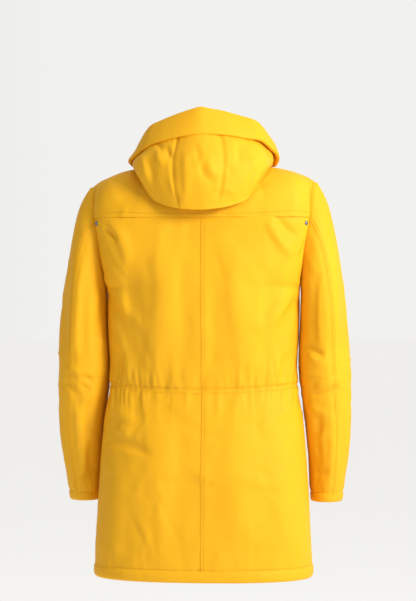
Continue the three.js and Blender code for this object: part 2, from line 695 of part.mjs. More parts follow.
function addZip() {
  for (const [side, mirror] of SIDES) {
    const outline = [
      [TEETH_APART, TEETH_FRONT],
      [TEETH_HALF, TEETH_FRONT],
      [TEETH_HALF, TAPE_FRONT],
      [ZIP_HALF, TAPE_FRONT],
      [ZIP_HALF, TAPE_FRONT + TAPE_WALL],
      [TEETH_HALF, TAPE_FRONT + TAPE_WALL],
      [TEETH_HALF, TEETH_BACK],
      [TEETH_APART, TEETH_BACK],
    ];
    const tape = new THREE.Shape(outline.map(([x, y]) => new THREE.Vector2(mirror * x, y)));
    const settings = { depth: ZIP_BOTTOM - ZIP_TOP, bevelEnabled: false };
    const strip = new THREE.ExtrudeGeometry(tape, settings);
    add(`zip_tape_${side}`, strip, tapeCloth, front).position.z = -ZIP_BOTTOM;
  }
  const face = -0.8;
  const [shut, open] = [TEETH_FRONT - SLIDER_PLAY, TEETH_BACK + SLIDER_PLAY];
  const half = [
    [SLIDER_HALF, face],
    [SLIDER_HALF, shut],
    [SLIDER_WEB, shut],
    [SLIDER_WEB, open],
    [SLIDER_HALF, open],
    [SLIDER_HALF, open + SLIDER_PLATE],
  ];
  const across = [...half, ...half.map(([x, y]) => [-x, y]).reverse()];
  const plate = new THREE.Shape(across.map(([x, y]) => new THREE.Vector2(x, y)));
  const body = new THREE.ExtrudeGeometry(plate, { depth: SLIDER_HEIGHT, bevelEnabled: false });
  body.translate(0, 0, -SLIDER_HEIGHT / 2);
  const earRadius = 2.1;
  const eyeRadius = 1.05;
  const earHalf = 3;
  const earWall = 2;
  const ear = new THREE.Shape();
  ear.moveTo(0.4, -earHalf);
  ear.lineTo(-PULL_DEPTH, -earRadius);
  ear.absarc(-PULL_DEPTH, 0, earRadius, -Math.PI / 2, Math.PI / 2, true);
  ear.lineTo(0.4, earHalf);
  ear.closePath();
  const eye = new THREE.Path();
  eye.absarc(-PULL_DEPTH, 0, eyeRadius, 0, 2 * Math.PI, false);
  ear.holes.push(eye);
  // The ear's outline is drawn in depth and height, and its thickness goes across the slider.
  const earSettings = { depth: earWall, bevelEnabled: false, curveSegments: 4 };
  const standing = new THREE.ExtrudeGeometry(ear, earSettings);
  const turned = new THREE.Matrix4().set(0, 0, 1, -earWall / 2, 1, 0, 0, -1, 0, 1, 0, 3, 0, 0, 0, 1);
  standing.applyMatrix4(turned);
  const slider = add("zip_slider", joined(body, standing), gunmetal, front);
  slider.position.z = -(ZIP_TOP + SLIDER_DROP);

  const pinRadius = 0.7;
  const pullHalf = 0.8; // half the pull's thickness
  const pin = new THREE.CylinderGeometry(pinRadius, pinRadius, 5.6, 8).rotateZ(Math.PI / 2);
  const rightArm = boxFrom([-3, -pullHalf, -8], [-1.5, pullHalf, 1]);
  const leftArm = boxFrom([1.5, -pullHalf, -8], [3, pullHalf, 1]);
  const tab = boxFrom([-3.6, -pullHalf, -34], [3.6, pullHalf, -7]);
  const pull = add("zip_pull", joined(pin, rightArm, leftArm, tab), gunmetal, front);
  pull.position.set(0, -1 - PULL_DEPTH, slider.position.z + 3);
}

// The flap is sewn along its foot on the left, stands off the zip, and closes on studs on the right.
function addStormFlap() {
  const [left, right] = [FLAP_HALF, -FLAP_HALF];
  const bottom = -(ZIP_BOTTOM + FLAP_OVERRUN);
  const top = -FLAP_TOP;
  const studX = right + STUD_INSET;
  const studAt = (share) => THREE.MathUtils.lerp(top - STUD_TOP, bottom + STUD_LOW, share);
  const studZ = (i) => studAt(i / (STUD_COUNT - 1));
  const outline = new THREE.Shape();
  outline.moveTo(right, top);
  outline.lineTo(left, top);
  outline.lineTo(left, bottom);
  outline.lineTo(right, bottom);
  outline.closePath();
  for (let i = 0; i < STUD_COUNT; i++) {
    const hole = new THREE.Path();
    hole.absarc(studX, studZ(i), STUD_SHANK + CLEAR, 0, 2 * Math.PI, false);
    outline.holes.push(hole);
  }
  const settings = { depth: FLAP_WALL, bevelEnabled: false, curveSegments: 3 };
  const slab = new THREE.ExtrudeGeometry(outline, settings);
  slab.rotateX(Math.PI / 2).translate(0, -FLAP_LIFT, 0);
  const foot = boxFrom([left - FOOT_WALL, -FLAP_LIFT - 0.5, bottom], [left, -CLEAR, top]);
  add("storm_flap", joined(slab, foot), shellCloth, front);
  for (let i = 0; i < STUD_COUNT; i++) addStud(i + 1, studX, studZ(i));
}

// A cap and its socket on the flap, and the post that the socket closes on, on the coat's front.
function addStud(number, x, z) {
  const outer = FLAP_WALL + CLEAR;
  const capHigh = 2.4;
  const socket = FLAP_LIFT - POST_BASE - CLEAR - capHigh;
  const bore = 1.4; // from the flap's back down to the socket's bore
  const cap = lathe(
    [
      [0, -bore],
      [POST_RADIUS + CLEAR, -bore],
      [POST_RADIUS + CLEAR, -socket],
      [SOCKET_RADIUS, -socket],
      [SOCKET_RADIUS, -CLEAR],
      [STUD_SHANK, -CLEAR],
      [STUD_SHANK, outer],
      [STUD_RADIUS, outer],
      [STUD_RADIUS, outer + 0.8],
      [STUD_RADIUS * 0.7, outer + 2],
      [0, outer + capHigh],
    ],
    10,
  );
  const capMesh = add(`flap_cap_${number}`, cap, gunmetal, front);
  capMesh.position.set(x, -FLAP_LIFT, z);
  capMesh.rotation.x = Math.PI;
  const tip = FLAP_LIFT - CLEAR - 2;
  const profile = [
    [0, 0],
    [SOCKET_RADIUS, 0],
    [SOCKET_RADIUS, POST_BASE],
    [POST_RADIUS, POST_BASE],
    [POST_RADIUS, tip],
    [0, tip],
  ];
  const postMesh = add(`flap_stud_${number}`, lathe(profile, 10), gunmetal, front);
  postMesh.position.set(x, -CLEAR, z);
  postMesh.rotation.x = Math.PI;
}

// ---- Patch pockets and rivets ----

// A small lathe seated on a body surface, with its axis along the surface's normal.
function seat(mesh, at, u, v, facing, lift) {
  const step = 1e-3;
  const alongU = at(u + step, v).sub(at(u - step, v));
  const alongV = at(u, v + step).sub(at(u, v - step));
  const normal = alongU.cross(alongV).normalize().multiplyScalar(facing);
  mesh.position.copy(at(u, v).addScaledVector(normal, lift));
  mesh.quaternion.setFromUnitVectors(new THREE.Vector3(0, 1, 0), normal);
}

// Height of the pouch over the coat: full in the middle and at the mouth, low at the sides and bottom.
function pouchLift(u, v) {
  const sides = Math.sin(Math.PI * THREE.MathUtils.clamp(u, 0, 1)) ** 0.5;
  const bottom = Math.min(1, (1 - v) / 0.25) ** 0.5;
  return (POCKET_DEPTH - SHELL - 2) * sides * bottom + SHELL + CLEAR + 0.25;
}

function addPockets() {
  for (const [side, mirror] of SIDES) {
    const lifted = (lift) => (u, v) => {
      const z = -POCKET_TOP - v * POCKET_HEIGHT;
      const across = THREE.MathUtils.lerp(POCKET_IN, POCKET_OUT, u);
      const base = bodyAt(-1, mirror * across, z);
      const step = 1e-3;
      const alongU = bodyAt(-1, mirror * (across + step), z).sub(base);
      const alongV = bodyAt(-1, mirror * across, z + 1).sub(base);
      const normal = alongU.cross(alongV).normalize().multiplyScalar(mirror);
      return base.addScaledVector(normal, lift(u, v));
    };
    const pouch = lifted(pouchLift);
    const pocket = shellOf(pouch, [0, 1, 8], [POCKET_MARGIN, 1, 6], 0, -SHELL, -mirror);
    add(`pocket_${side}`, pocket, shellCloth);
    const share = POCKET_FLAP_HEIGHT / POCKET_HEIGHT;
    const overlap = 3.1; // the flap clears the pouch by this much
    const flapLift = (u, v) => {
      const drop = (v + FLAP_ABOVE) / share;
      return FLAP_WALL - 0.3 + (POCKET_DEPTH + overlap) * Math.min(1, drop / 0.35) ** 0.8;
    };
    const wide = [-POCKET_MARGIN, 1 + POCKET_MARGIN, 8];
    const high = [-FLAP_ABOVE, share - FLAP_ABOVE, 4];
    const flap = shellOf(lifted(flapLift), wide, high, 0, -FLAP_WALL, -mirror);
    add(`pocket_flap_${side}`, flap, shellCloth);
  }
}

function addRivets() {
  for (const [side, mirror] of SIDES) {
    const profile = [
      [0, 0],
      [RIVET_RADIUS, 0],
      [RIVET_RADIUS, 0.8],
      [RIVET_RADIUS * 0.7, 2.2],
      [0, 2.8],
    ];
    const rivet = add(`rivet_${side}`, lathe(profile, 12), gunmetal);
    const back = (u, v) => bodyAt(1, mirror * u, v);
    seat(rivet, back, RIVET_ACROSS, YOKE_Z - RIVET_DROP, -mirror, -CLEAR);
  }
}

addBodyPanels();
addBandsAndLining();
addCollar();
addSleeves();
addHood();
addZip();
addStormFlap();
addPockets();
addRivets();

export default coat;
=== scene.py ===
"""Looks of a hooded rain parka in its worn shape, built round its CAD frame.

Lengths are in millimetres until a mesh is made. The wearer faces -Y, the wearer's left is +X, and the
origin is on the centre line at the height of the nape.
"""

import math
import random

import bmesh
import bpy
import numpy as np
from mathutils import Matrix, Vector, noise


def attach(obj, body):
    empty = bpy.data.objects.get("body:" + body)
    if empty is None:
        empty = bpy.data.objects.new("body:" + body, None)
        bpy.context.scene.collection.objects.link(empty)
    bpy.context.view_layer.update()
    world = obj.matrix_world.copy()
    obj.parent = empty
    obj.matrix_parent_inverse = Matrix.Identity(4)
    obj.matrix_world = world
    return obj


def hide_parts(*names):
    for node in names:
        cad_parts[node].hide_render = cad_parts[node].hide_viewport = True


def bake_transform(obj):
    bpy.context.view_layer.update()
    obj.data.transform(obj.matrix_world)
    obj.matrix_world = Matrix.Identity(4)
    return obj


bl_info = {
    "name": "Rain Parka",
    "version": (1, 0, 0),
    "blender": (4, 2, 0),
    "location": "3D View > Sidebar > Parka",
    "description": "Builds a padded, hooded rain parka and its studio",
    "category": "Add Mesh",
}

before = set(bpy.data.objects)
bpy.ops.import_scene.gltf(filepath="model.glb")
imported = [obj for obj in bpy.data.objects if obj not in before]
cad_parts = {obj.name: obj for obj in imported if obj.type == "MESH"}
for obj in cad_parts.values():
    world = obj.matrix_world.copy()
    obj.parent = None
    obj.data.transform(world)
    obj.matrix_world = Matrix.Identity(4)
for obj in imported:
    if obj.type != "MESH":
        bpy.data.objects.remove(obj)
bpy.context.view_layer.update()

MM = 0.001
SIDES = (("left", 1), ("right", -1))

# ---- Sizes shared with the CAD frame ----
HEM_Z, WAIST_Z, YOKE_Z, ARMPIT_Z, TIP_Z, SEAT_Z = -867, -460, -108, -250, -48, -650
HEM_BAND, CUFF_BAND = 23, 17
SHOULDER_HALF, CHEST_HALF = 237, 205
ROUNDNESS = 0.83
FRONT_DEPTH = 112
SLOPE = 32 / 867
NECK_HALF, NAPE_DEPTH, NECK_RISE, NECK_DROP = 85, 63, 12, 72
NECK_FRONT_Y = -(FRONT_DEPTH + SLOPE * NECK_DROP)
NECK_MID_Y = (NAPE_DEPTH + NECK_FRONT_Y) / 2
NECK_RADIUS_Y = (NAPE_DEPTH - NECK_FRONT_Y) / 2
NECK_SHARE = 0.4
YOKE_SHARE = 0.72
COLLAR_HEIGHT = 62
ELBOW_DROP = 437
BACK_SEAM, FRONT_SEAM = 0.205, 0.74
HOOD_END = 128
HOOD_SEAM = 20
ZIP_TOP, ZIP_BOTTOM = 12, 800
FLAP_TOP, FLAP_LIFT, FLAP_HALF = 86, 8, 32
STUD_COUNT, STUD_X = 5, -20
POCKET_TOP, POCKET_HEIGHT, POCKET_FLAP = 520, 190, 62
POCKET_IN, POCKET_OUT, POCKET_DEPTH = 0.17, 0.68, 15
POCKET_OVER, POCKET_MARGIN = 0.09, 0.04

# Along a sleeve 0 is its root and 6 its end, CUFF_STEP is about the length of its last step, and the
# two bends are stretches along it.
CAP_END, SLEEVE_END = 3.2, 5.89
SHOULDER_BEND, ELBOW_BEND = (0.05, 2.9), (3.42, 4.55)
SLEEVE_GIRTH = 2 * math.pi * 52
CUFF_STEP = 133

# ---- Camera, in metres and degrees ----
VIEW_TURN, VIEW_DISTANCE, VIEW_SIDE, VIEW_HEIGHT = 4.3, 4.11, 0.0094, -0.282
VIEW_SLOPE = 0.625 / 4.0
FLOOR_Z = -1.55


# ---- Curves and surfaces ----


def through(pairs):
    """A smooth curve through [key, value] pairs in rising key order, for whole arrays of keys."""
    keys = np.array([key for key, _ in pairs], float)
    values = np.array([np.atleast_1d(value) for _, value in pairs], float)
    gaps = np.diff(keys)
    slopes = np.empty_like(values)
    slopes[0] = (values[1] - values[0]) / gaps[0]
    slopes[-1] = (values[-1] - values[-2]) / gaps[-1]
    slopes[1:-1] = (values[2:] - values[:-2]) / (keys[2:] - keys[:-2])[:, None]

    def at(key):
        key = np.asarray(key, float)
        i = np.clip(np.searchsorted(keys, key) - 1, 0, len(keys) - 2)
        span = gaps[i][..., None]
        t = np.clip((key - keys[i]) / gaps[i], 0, 1)[..., None]
        found = hermite(values[i], slopes[i] * span, values[i + 1], slopes[i + 1] * span, t)
        return found[..., 0] if values.shape[1] == 1 else found

    return at


def hermite(start, leave, end, arrive, t):
    t2, t3 = t * t, t**3
    blend = (2 * t3 - 3 * t2 + 1) * start + (t3 - 2 * t2 + t) * leave
    return blend + (3 * t2 - 2 * t3) * end + (t3 - t2) * arrive


def through_stations(stations, share):
    """Per point, the smooth curve through its own stations, at its own share from first to last."""
    points = np.stack(stations)
    last = len(stations) - 1
    slopes = np.gradient(points, axis=0)
    i = np.clip((share * last).astype(int), 0, last - 1)
    t = (share * last - i)[:, None]
    row = np.arange(len(share))
    return hermite(points[i, row], slopes[i, row], points[i + 1, row], slopes[i + 1, row], t)


def smooth(value, low, high):
    t = np.clip((value - low) / (high - low), 0, 1)
    return t * t * (3 - 2 * t)


def bell(value, width):
    return np.exp(-((value / width) ** 2))


def limited(height, most=6):
    """Eases heights towards a highest one."""
    return most * np.tanh(height / most)


def within(u):
    """1 over a panel, falling to 0 at its side edges."""
    return 1 - smooth(np.abs(u), 0.9, 1.0)


def at_root(along):
    """1 where a sleeve's root is tucked in at the armhole, 0 past it."""
    return 1 - smooth(along, 0, 0.06)


def stacked(x, y, z):
    return np.stack(np.broadcast_arrays(x, y, z), -1).astype(float)


def unit(vectors):
    return vectors / (np.linalg.norm(vectors, axis=1, keepdims=True) + 1e-12)


side_half = through([
    [HEM_Z, 233], [SEAT_Z, 222], [-530, 212], [WAIST_Z, 199.5], [-355, 203], [ARMPIT_Z, 205],
])
back_depth = through([[HEM_Z, 132], [SEAT_Z, 122], [WAIST_Z, 98], [ARMPIT_Z, 124], [YOKE_Z, 112]])


def edge_half(z):
    """Half the body's width at the side seam or, above the armpit, at the armhole."""
    above = CHEST_HALF + (SHOULDER_HALF - CHEST_HALF) * (z - ARMPIT_Z) / (TIP_Z - ARMPIT_Z)
    return np.where(z <= ARMPIT_Z, side_half(z), above)


def armhole_at(z):
    """How far the armhole's edge stands from the plane of the shoulder tips."""
    share = (z - (ARMPIT_Z + TIP_Z) / 2) / ((TIP_Z - ARMPIT_Z) / 2)
    return np.where(z <= ARMPIT_Z, 0, 60 * np.sqrt(np.clip(1 - share * share, 0, None)))


def body_at(side, across, z):
    """The coat's surface: across is 0 at the centre line and 1 at the side seam or armhole."""
    angle = np.abs(across) * np.pi / 2
    edge = armhole_at(z)
    depth = back_depth(z) if side > 0 else FRONT_DEPTH - SLOPE * z
    x = edge_half(z) * np.sin(angle) ** ROUNDNESS
    y = edge + (depth - edge) * np.clip(np.cos(angle), 0, None) ** ROUNDNESS
    return stacked(np.sign(across) * x, side * y, z)


def across_at(x, z):
    """The share across the body at a place x and a height z."""
    return math.asin((x / float(edge_half(np.array(z)))) ** (1 / ROUNDNESS)) * 2 / math.pi


def neck_at(angle, outward=0.0, up=0.0):
    """The neck seam: angle is 0 at the nape and pi at the centre front."""
    middle = (NECK_RISE * 2 - NECK_DROP) / 4
    z = middle + NECK_DROP / 2 * np.cos(angle) + (middle - NECK_RISE) * np.cos(2 * angle)
    x = (NECK_HALF + outward) * np.sin(angle)
    return stacked(x, NECK_MID_Y + (NECK_RADIUS_Y + outward) * np.cos(angle), z + up)


def top_at(side, across):
    """The upper edge of the yoke: the neck seam first, then the ridge of the shoulder."""
    share = np.abs(across)
    quarter = np.clip(share / NECK_SHARE, 0, 1) * np.pi / 2
    neck = neck_at(quarter if side > 0 else np.pi - quarter)
    along = np.clip((share - NECK_SHARE) / (1 - NECK_SHARE), 0, 1)[..., None]
    ridge = neck_at(np.array(np.pi / 2)) * (1 - along) + np.array([SHOULDER_HALF, 0, TIP_Z]) * along
    ridge[..., 2] += 7 * np.sin(np.pi * along[..., 0])
    point = np.where((share <= NECK_SHARE)[..., None], neck, ridge)
    point[..., 0] *= np.where(across < 0, -1, 1)
    return point


def yoke_at(side, across, rise):
    """From the yoke seam (rise 0) over the shoulder to its ridge, or to the neck (rise 1)."""
    low = body_at(side, across, np.full_like(across, YOKE_Z))
    high = top_at(side, across)
    share = np.abs(across)
    straight = 0 if side > 0 else 1 - smooth(share, 0.05, 0.3)
    domed = low[..., 1] * (0.97 + (0.74 - 0.97) * smooth(share, 0.8, 1))
    bend_y = domed + ((low[..., 1] + high[..., 1]) / 2 - domed) * straight
    lifted = low[..., 2] + (high[..., 2] - low[..., 2]) * 0.62
    bend_z = lifted + (high[..., 2] - lifted) * smooth(share, 0.15, 0.75)
    bend = stacked(low[..., 0] * 0.6 + high[..., 0] * 0.4, bend_y, bend_z)
    r = np.asarray(rise, float)[..., None]
    return low * (1 - r) ** 2 + bend * 2 * r * (1 - r) + high * r * r


def back_at(across, z):
    return body_at(1, across, z)


def back_yoke_at(across, rise):
    return yoke_at(1, across, rise)


def whole_at(side, mirror, low_z):
    """From low_z (up 0) over the yoke seam to the shoulder's ridge or the neck (up 1)."""

    def at(across, up):
        z = low_z + (YOKE_Z - low_z) * np.clip(up / YOKE_SHARE, 0, 1)
        rise = np.clip((up - YOKE_SHARE) / (1 - YOKE_SHARE), 0, 1)
        below, above = body_at(side, mirror * across, z), yoke_at(side, mirror * across, rise)
        return np.where((up < YOKE_SHARE)[..., None], below, above)

    return at


def around_at(angle, z):
    """The body's surface all round: angle is 0 at the centre back and pi at the centre front."""
    share = np.abs(angle) * 2 / np.pi
    mirror = np.where(angle < 0, -1, 1)
    back = body_at(1, mirror * np.clip(share, 0, 1), z)
    front = body_at(-1, mirror * np.clip(2 - share, 0, 1), z)
    return np.where((share <= 1)[..., None], back, front)


OUTER_EDGE = through([
    [0, [238.2, -48]], [1, [268, -108]], [2, [291, -203]], [3, [305, -310]],
    [4, [314, -437]], [5, [313, -570]], [6, [295, -713]],
])
INNER_EDGE = through([
    [0, [206.2, -250]], [1, [207, -258]], [2, [207, -275]], [3, [204.5, -335]],
    [4, [203, -437]], [5, [219, -570]], [6, [228, -713]],
])
HALF_DEPTH = through([[0, 60], [1, 68], [2, 72], [3, 69], [4, 62], [5, 54], [6, 46]])
FORWARD = through([[0, 0], [2, 2], [3, 5], [4, 12], [5, 36], [6, 62]])


def sleeve_at(mirror, inset=0.0):
    """turn is 0 at the outer edge, a quarter at the back and a half at the body."""

    def at(turn, along):
        outer, inner = OUTER_EDGE(along), INNER_EDGE(along)
        angle = turn * 2 * np.pi
        span = outer - inner
        half = np.linalg.norm(span, axis=-1) / 2
        reach = np.cos(angle) * (half - inset) / half
        x = (outer[..., 0] + inner[..., 0] + span[..., 0] * reach) / 2
        z = (outer[..., 1] + inner[..., 1] + span[..., 1] * reach) / 2
        x = x - 6 * at_root(along)
        return stacked(mirror * x, (HALF_DEPTH(along) - inset) * np.sin(angle) - FORWARD(along), z)

    return at


def hood_line(*pairs):
    """A line over the hood by its angle in degrees from the centre back, the same on both sides."""
    angle, (x, y, z) = pairs[1]
    return through([[-angle, [-x, y, z]], *pairs])


HOOD_LINES = {
    "fold": hood_line([0, [0, 92, 121]], [45, [96, 66, 99]], [55, [117, 52, 88]],
                      [65, [136, 36, 62]], [90, [151, -15, 32]], [HOOD_END, [94, -92, -20]]),
    "brim_edge": hood_line([0, [0, 124, 64]], [45, [113, 90, 49]], [65, [147, 47, 32]],
                           [90, [161, -14, 13]], [HOOD_END, [106, -100, -34]]),
    "wall_top": hood_line([0, [0, 90, 118]], [45, [94, 64, 96]], [55, [115, 50, 85]],
                          [65, [133, 35, 58]], [90, [148, -15, 28]], [HOOD_END, [92, -90, -21]]),
    "wall_high": hood_line([0, [0, 112, 72]], [45, [100, 80, 56]], [65, [133, 44, 36]],
                           [90, [145, -13, 19]], [HOOD_END, [89, -82, -26]]),
    "wall_low": hood_line([0, [0, 150, 0]], [45, [118, 112, -6]], [65, [144, 66, 0]],
                          [90, [145, -12, 7]], [HOOD_END, [91, -84, -29]]),
    "bottom": hood_line([0, [0, 146, -94]], [45, [92, 117, -76]], [65, [127, 78, -34]],
                        [90, [146, -10, 2]], [HOOD_END, [92, -86, -33]]),
    "return_low": hood_line([0, [0, 124, -58]], [45, [92, 103, -42]], [65, [122, 64, -6]],
                            [90, [122, -12, 8]], [HOOD_END, [88, -84, -33]]),
}
HOOD_REST = {"fold": 27, "brim_edge": 14, "wall_top": 24, "wall_high": 13,
             "wall_low": 8, "bottom": 4, "return_low": 3}


def shoulder_height(x, y):
    """The height of the shoulder's surface over each point, by Newton's steps on the yoke."""
    step = 1e-3
    found = []
    for side in (1, -1):
        across = np.clip(np.abs(x) / SHOULDER_HALF, 0.05, 0.95)
        rise = np.full_like(across, 0.6)
        for _ in range(12):
            at = yoke_at(side, across, rise)
            along_a = (yoke_at(side, across + step, rise) - at) / step
            along_r = (yoke_at(side, across, rise + step) - at) / step
            det = along_a[:, 0] * along_r[:, 1] - along_a[:, 1] * along_r[:, 0]
            dx, dy = np.abs(x) - at[:, 0], y - at[:, 1]
            across = across + (dx * along_r[:, 1] - dy * along_r[:, 0]) / det
            across = np.clip(across, 0.02, 0.98)
            rise = np.clip(rise + (dy * along_a[:, 0] - dx * along_a[:, 1]) / det, 0, 1)
        found.append(yoke_at(side, across, rise)[:, 2])
    return np.where(y < 0, found[1], found[0])


def hood_at(names, neck_end=False):
    """A hood surface by its angle in degrees, negative on the right, and its share from line to line."""

    def at(angle, share):
        turn = np.abs(angle)
        stations = []
        for name in names:
            point = HOOD_LINES[name](turn)
            resting = shoulder_height(point[:, 0], point[:, 1]) + HOOD_REST[name]
            point[:, 2] = np.maximum(point[:, 2], resting)
            stations.append(point)
        if neck_end:
            stations.append(neck_at(np.radians(turn), 1.1, 5))
        point = through_stations(stations, np.clip(share, 0, 1))
        point[:, 0] *= np.where(angle < 0, -1, 1)
        # The hood sits a little higher on the wearer's right.
        wide = 1 + smooth(np.abs(point[:, 0]), 100, 135)
        point[:, 2] -= 0.05 * wide * point[:, 0] * smooth(point[:, 2], 0, 60)
        return point

    return at


def front_point(x, depth, up):
    """A point by its place across, into and up the centre front line."""
    lean = math.atan(SLOPE)
    y = depth * math.cos(lean) + up * math.sin(lean) - FRONT_DEPTH
    return stacked(x, y, -depth * math.sin(lean) + up * math.cos(lean))


# ---- Folds ----


def folds(x, z, rows):
    """Soft ridges, or creases where the height is negative, each from one point to another."""
    total = np.zeros_like(x)
    for x0, z0, x1, z1, width, height, bow in rows:
        dx, dz = x1 - x0, z1 - z0
        length = math.hypot(dx, dz)
        t = ((x - x0) * dx + (z - z0) * dz) / length**2
        arch = np.clip(1 - (2 * t - 1) ** 2, 0, None)
        across = ((x - x0) * dz - (z - z0) * dx) / length - bow * arch
        lean = np.where(across > 0, 1.0, 0.6)
        total += height * arch**0.7 * bell(across, width * lean)
    return total


def scattered(rng, count, box, lean, length, width, height):
    """Random folds in a box, leaning from lean[0] to lean[1] degrees from upright."""
    rows = []
    for _ in range(count):
        x, z = rng.uniform(box[0], box[1]), rng.uniform(box[2], box[3])
        angle = math.radians(rng.uniform(*lean))
        half = rng.uniform(*length) / 2
        dx, dz = half * math.sin(angle), half * math.cos(angle)
        tall = rng.uniform(*height) * rng.choice((1, 1, -1))
        rows.append((x - dx, z - dz, x + dx, z + dz, rng.uniform(*width), tall, rng.uniform(-4, 4)))
    return rows


def gathers(rng, along, off, low, high, spacing, width, height, reach):
    """Short puckers that stand across a seam: along the seam, and off it on either side."""
    total = np.zeros_like(along)
    place = low
    while place < high:
        for direction in (1, -1):
            far = reach * rng.uniform(0.45, 1.4)
            tall = height * rng.uniform(0.4, 1.2)
            wander = rng.uniform(-0.12, 0.12)
            side = np.clip(off * direction, 0, None)
            shape = (side / far) * np.exp(1 - side / far)
            total += tall * shape * bell(along - place - wander * off, width * rng.uniform(0.7, 1.3))
        place += spacing * rng.uniform(0.6, 1.4)
    return total


def crumple(points, size, seed):
    """Smooth noise from -1 to 1 over points, with bumps about size across, an (x, y, z) triple."""
    scaled = points / np.array(size, float) + seed * 17.3
    return np.array([noise.noise(Vector(p)) for p in scaled])


# ---- Meshes ----


def apply_modifiers(obj):
    bpy.context.view_layer.update()
    graph = bpy.context.evaluated_depsgraph_get()
    mesh = bpy.data.meshes.new_from_object(
        obj.evaluated_get(graph), preserve_all_data_layers=True, depsgraph=graph
    )
    obj.modifiers.clear()
    obj.data = mesh


def grid(columns, rows, u_ends, v_ends=(0, 1)):
    """A grid of faces, with the place of each vertex in the two ranges."""
    bm = bmesh.new()
    bmesh.ops.create_grid(bm, x_segments=columns, y_segments=rows, size=0.5)
    share = np.clip(np.array([v.co for v in bm.verts]) + 0.5, 0, 1)
    return bm, u_ends[0] + np.ptp(u_ends) * share[:, 0], v_ends[0] + np.ptp(v_ends) * share[:, 1]


def linked(name, bm, material):
    """Makes a smooth object of a bmesh and puts it in the scene."""
    mesh = bpy.data.meshes.new(name)
    bm.to_mesh(mesh)
    bm.free()
    mesh.polygons.foreach_set("use_smooth", [True] * len(mesh.polygons))
    mesh.materials.append(material)
    obj = bpy.data.objects.new(name, mesh)
    bpy.context.scene.collection.objects.link(obj)
    return obj


def shrugged(point):
    """The wearer holds both shoulders a little high, the right one more."""
    x, z = point[:, 0], point[:, 2]
    lift = np.where(x > 0, 11, 20) * smooth(np.abs(x), 90, 240) * smooth(z, -118, -48)
    return point + stacked(0, 0, lift)


def placed(at, u, v, relief=None, core=None):
    """Points of a surface moved out by relief, and their outward normals."""
    point = at(u, v)
    du, dv = (np.ptp(u) or 1) * 1e-3, (np.ptp(v) or 1) * 1e-3
    along_u = at(np.minimum(u + du, u.max()), v) - at(np.maximum(u - du, u.min()), v)
    along_v = at(u, np.minimum(v + dv, v.max())) - at(u, np.maximum(v - dv, v.min()))
    normal = unit(np.cross(along_u, along_v))
    middle = point * (0, 0, 1) if core is None else core(point, v)
    if np.sum(normal * (point - middle)) < 0:
        normal = -normal
    if relief is not None:
        point = point + normal * relief(point, u, v)[:, None]
    return shrugged(point), normal


def cloth(name, at, across, along, slot, relief=None, core=None, wall=2.2):
    """A cloth surface with its outer face at relief over at(u, v); its flat size and area are worked out as
    well.
    """
    (*across, columns), (*along, rows) = across, along
    bm, u, v = grid(columns, rows, across, along)
    point, normal = placed(at, u, v, relief, core)
    flow = bm.verts.layers.float.new("flow")
    for vert, co, value in zip(bm.verts, point, v):
        vert.co = co * MM
        vert[flow] = value
    bm.normal_update()
    bm.faces.ensure_lookup_table()
    middle = bm.faces[len(bm.faces) // 2 + columns // 3]
    if middle.normal.dot(Vector(normal[middle.verts[0].index])) < 0:
        bmesh.ops.reverse_faces(bm, faces=bm.faces)
    rim = [vert for vert in bm.verts if vert.is_boundary]
    bmesh.ops.remove_doubles(bm, verts=rim, dist=2e-4)
    for edge in bm.edges:
        edge.smooth = not edge.is_boundary
    obj = linked(name, bm, material_of(slot))
    skin = obj.modifiers.new("Wall", "SOLIDIFY")
    skin.thickness = wall * MM
    skin.offset = -1
    size, area = flat_size(at(u, v)[np.lexsort((u, v))].reshape(rows + 1, columns + 1, 3) * MM)
    return obj


def flat_size(rows):
    """The longest way across and along a grid of points, and its area."""
    along, across = np.diff(rows, axis=0), np.diff(rows, axis=1)
    longest = [np.linalg.norm(across, axis=2).sum(1).max(), np.linalg.norm(along, axis=2).sum(0).max()]
    width, length = map(float, longest)
    area = float(np.linalg.norm(np.cross(along[:, :-1], across[:-1]), axis=2).sum())
    return (width, length), min(max(area, 0.31 * width * length), width * length)


def roll(name, at, across, columns, ring):
    """A padded closed tube of shell cloth: at(u, turn) with turn from 0 to 1 round its section."""
    bm, u, turn = grid(columns, ring, across)
    for vert, co in zip(bm.verts, at(u, turn)):
        vert.co = co * MM
    bmesh.ops.remove_doubles(bm, verts=bm.verts, dist=2e-6)
    bmesh.ops.holes_fill(bm, edges=[e for e in bm.edges if e.is_boundary])
    bmesh.ops.recalc_face_normals(bm, faces=bm.faces)
    obj = linked(name, bm, material_of("shell"))
    return obj


def section(turn, half_high, half_thick, square=0.5):
    """A rounded oblong: the place up and the place out, for a turn round it."""
    angle = turn * 2 * np.pi
    c, s = np.cos(angle), np.sin(angle)
    return (
        half_high * np.sign(s) * np.abs(s) ** square,
        half_thick * np.sign(c) * np.abs(c) ** (square + 0.2),
    )


def tapered(u, u0, u1, end):
    """From 0 at either end to 1 further in than end, as a rounded nose."""
    inner = np.clip(np.minimum(u - u0, u1 - u) / end, 0, 1)
    return np.sqrt(np.clip(1 - (1 - inner) ** 2, 0, None))


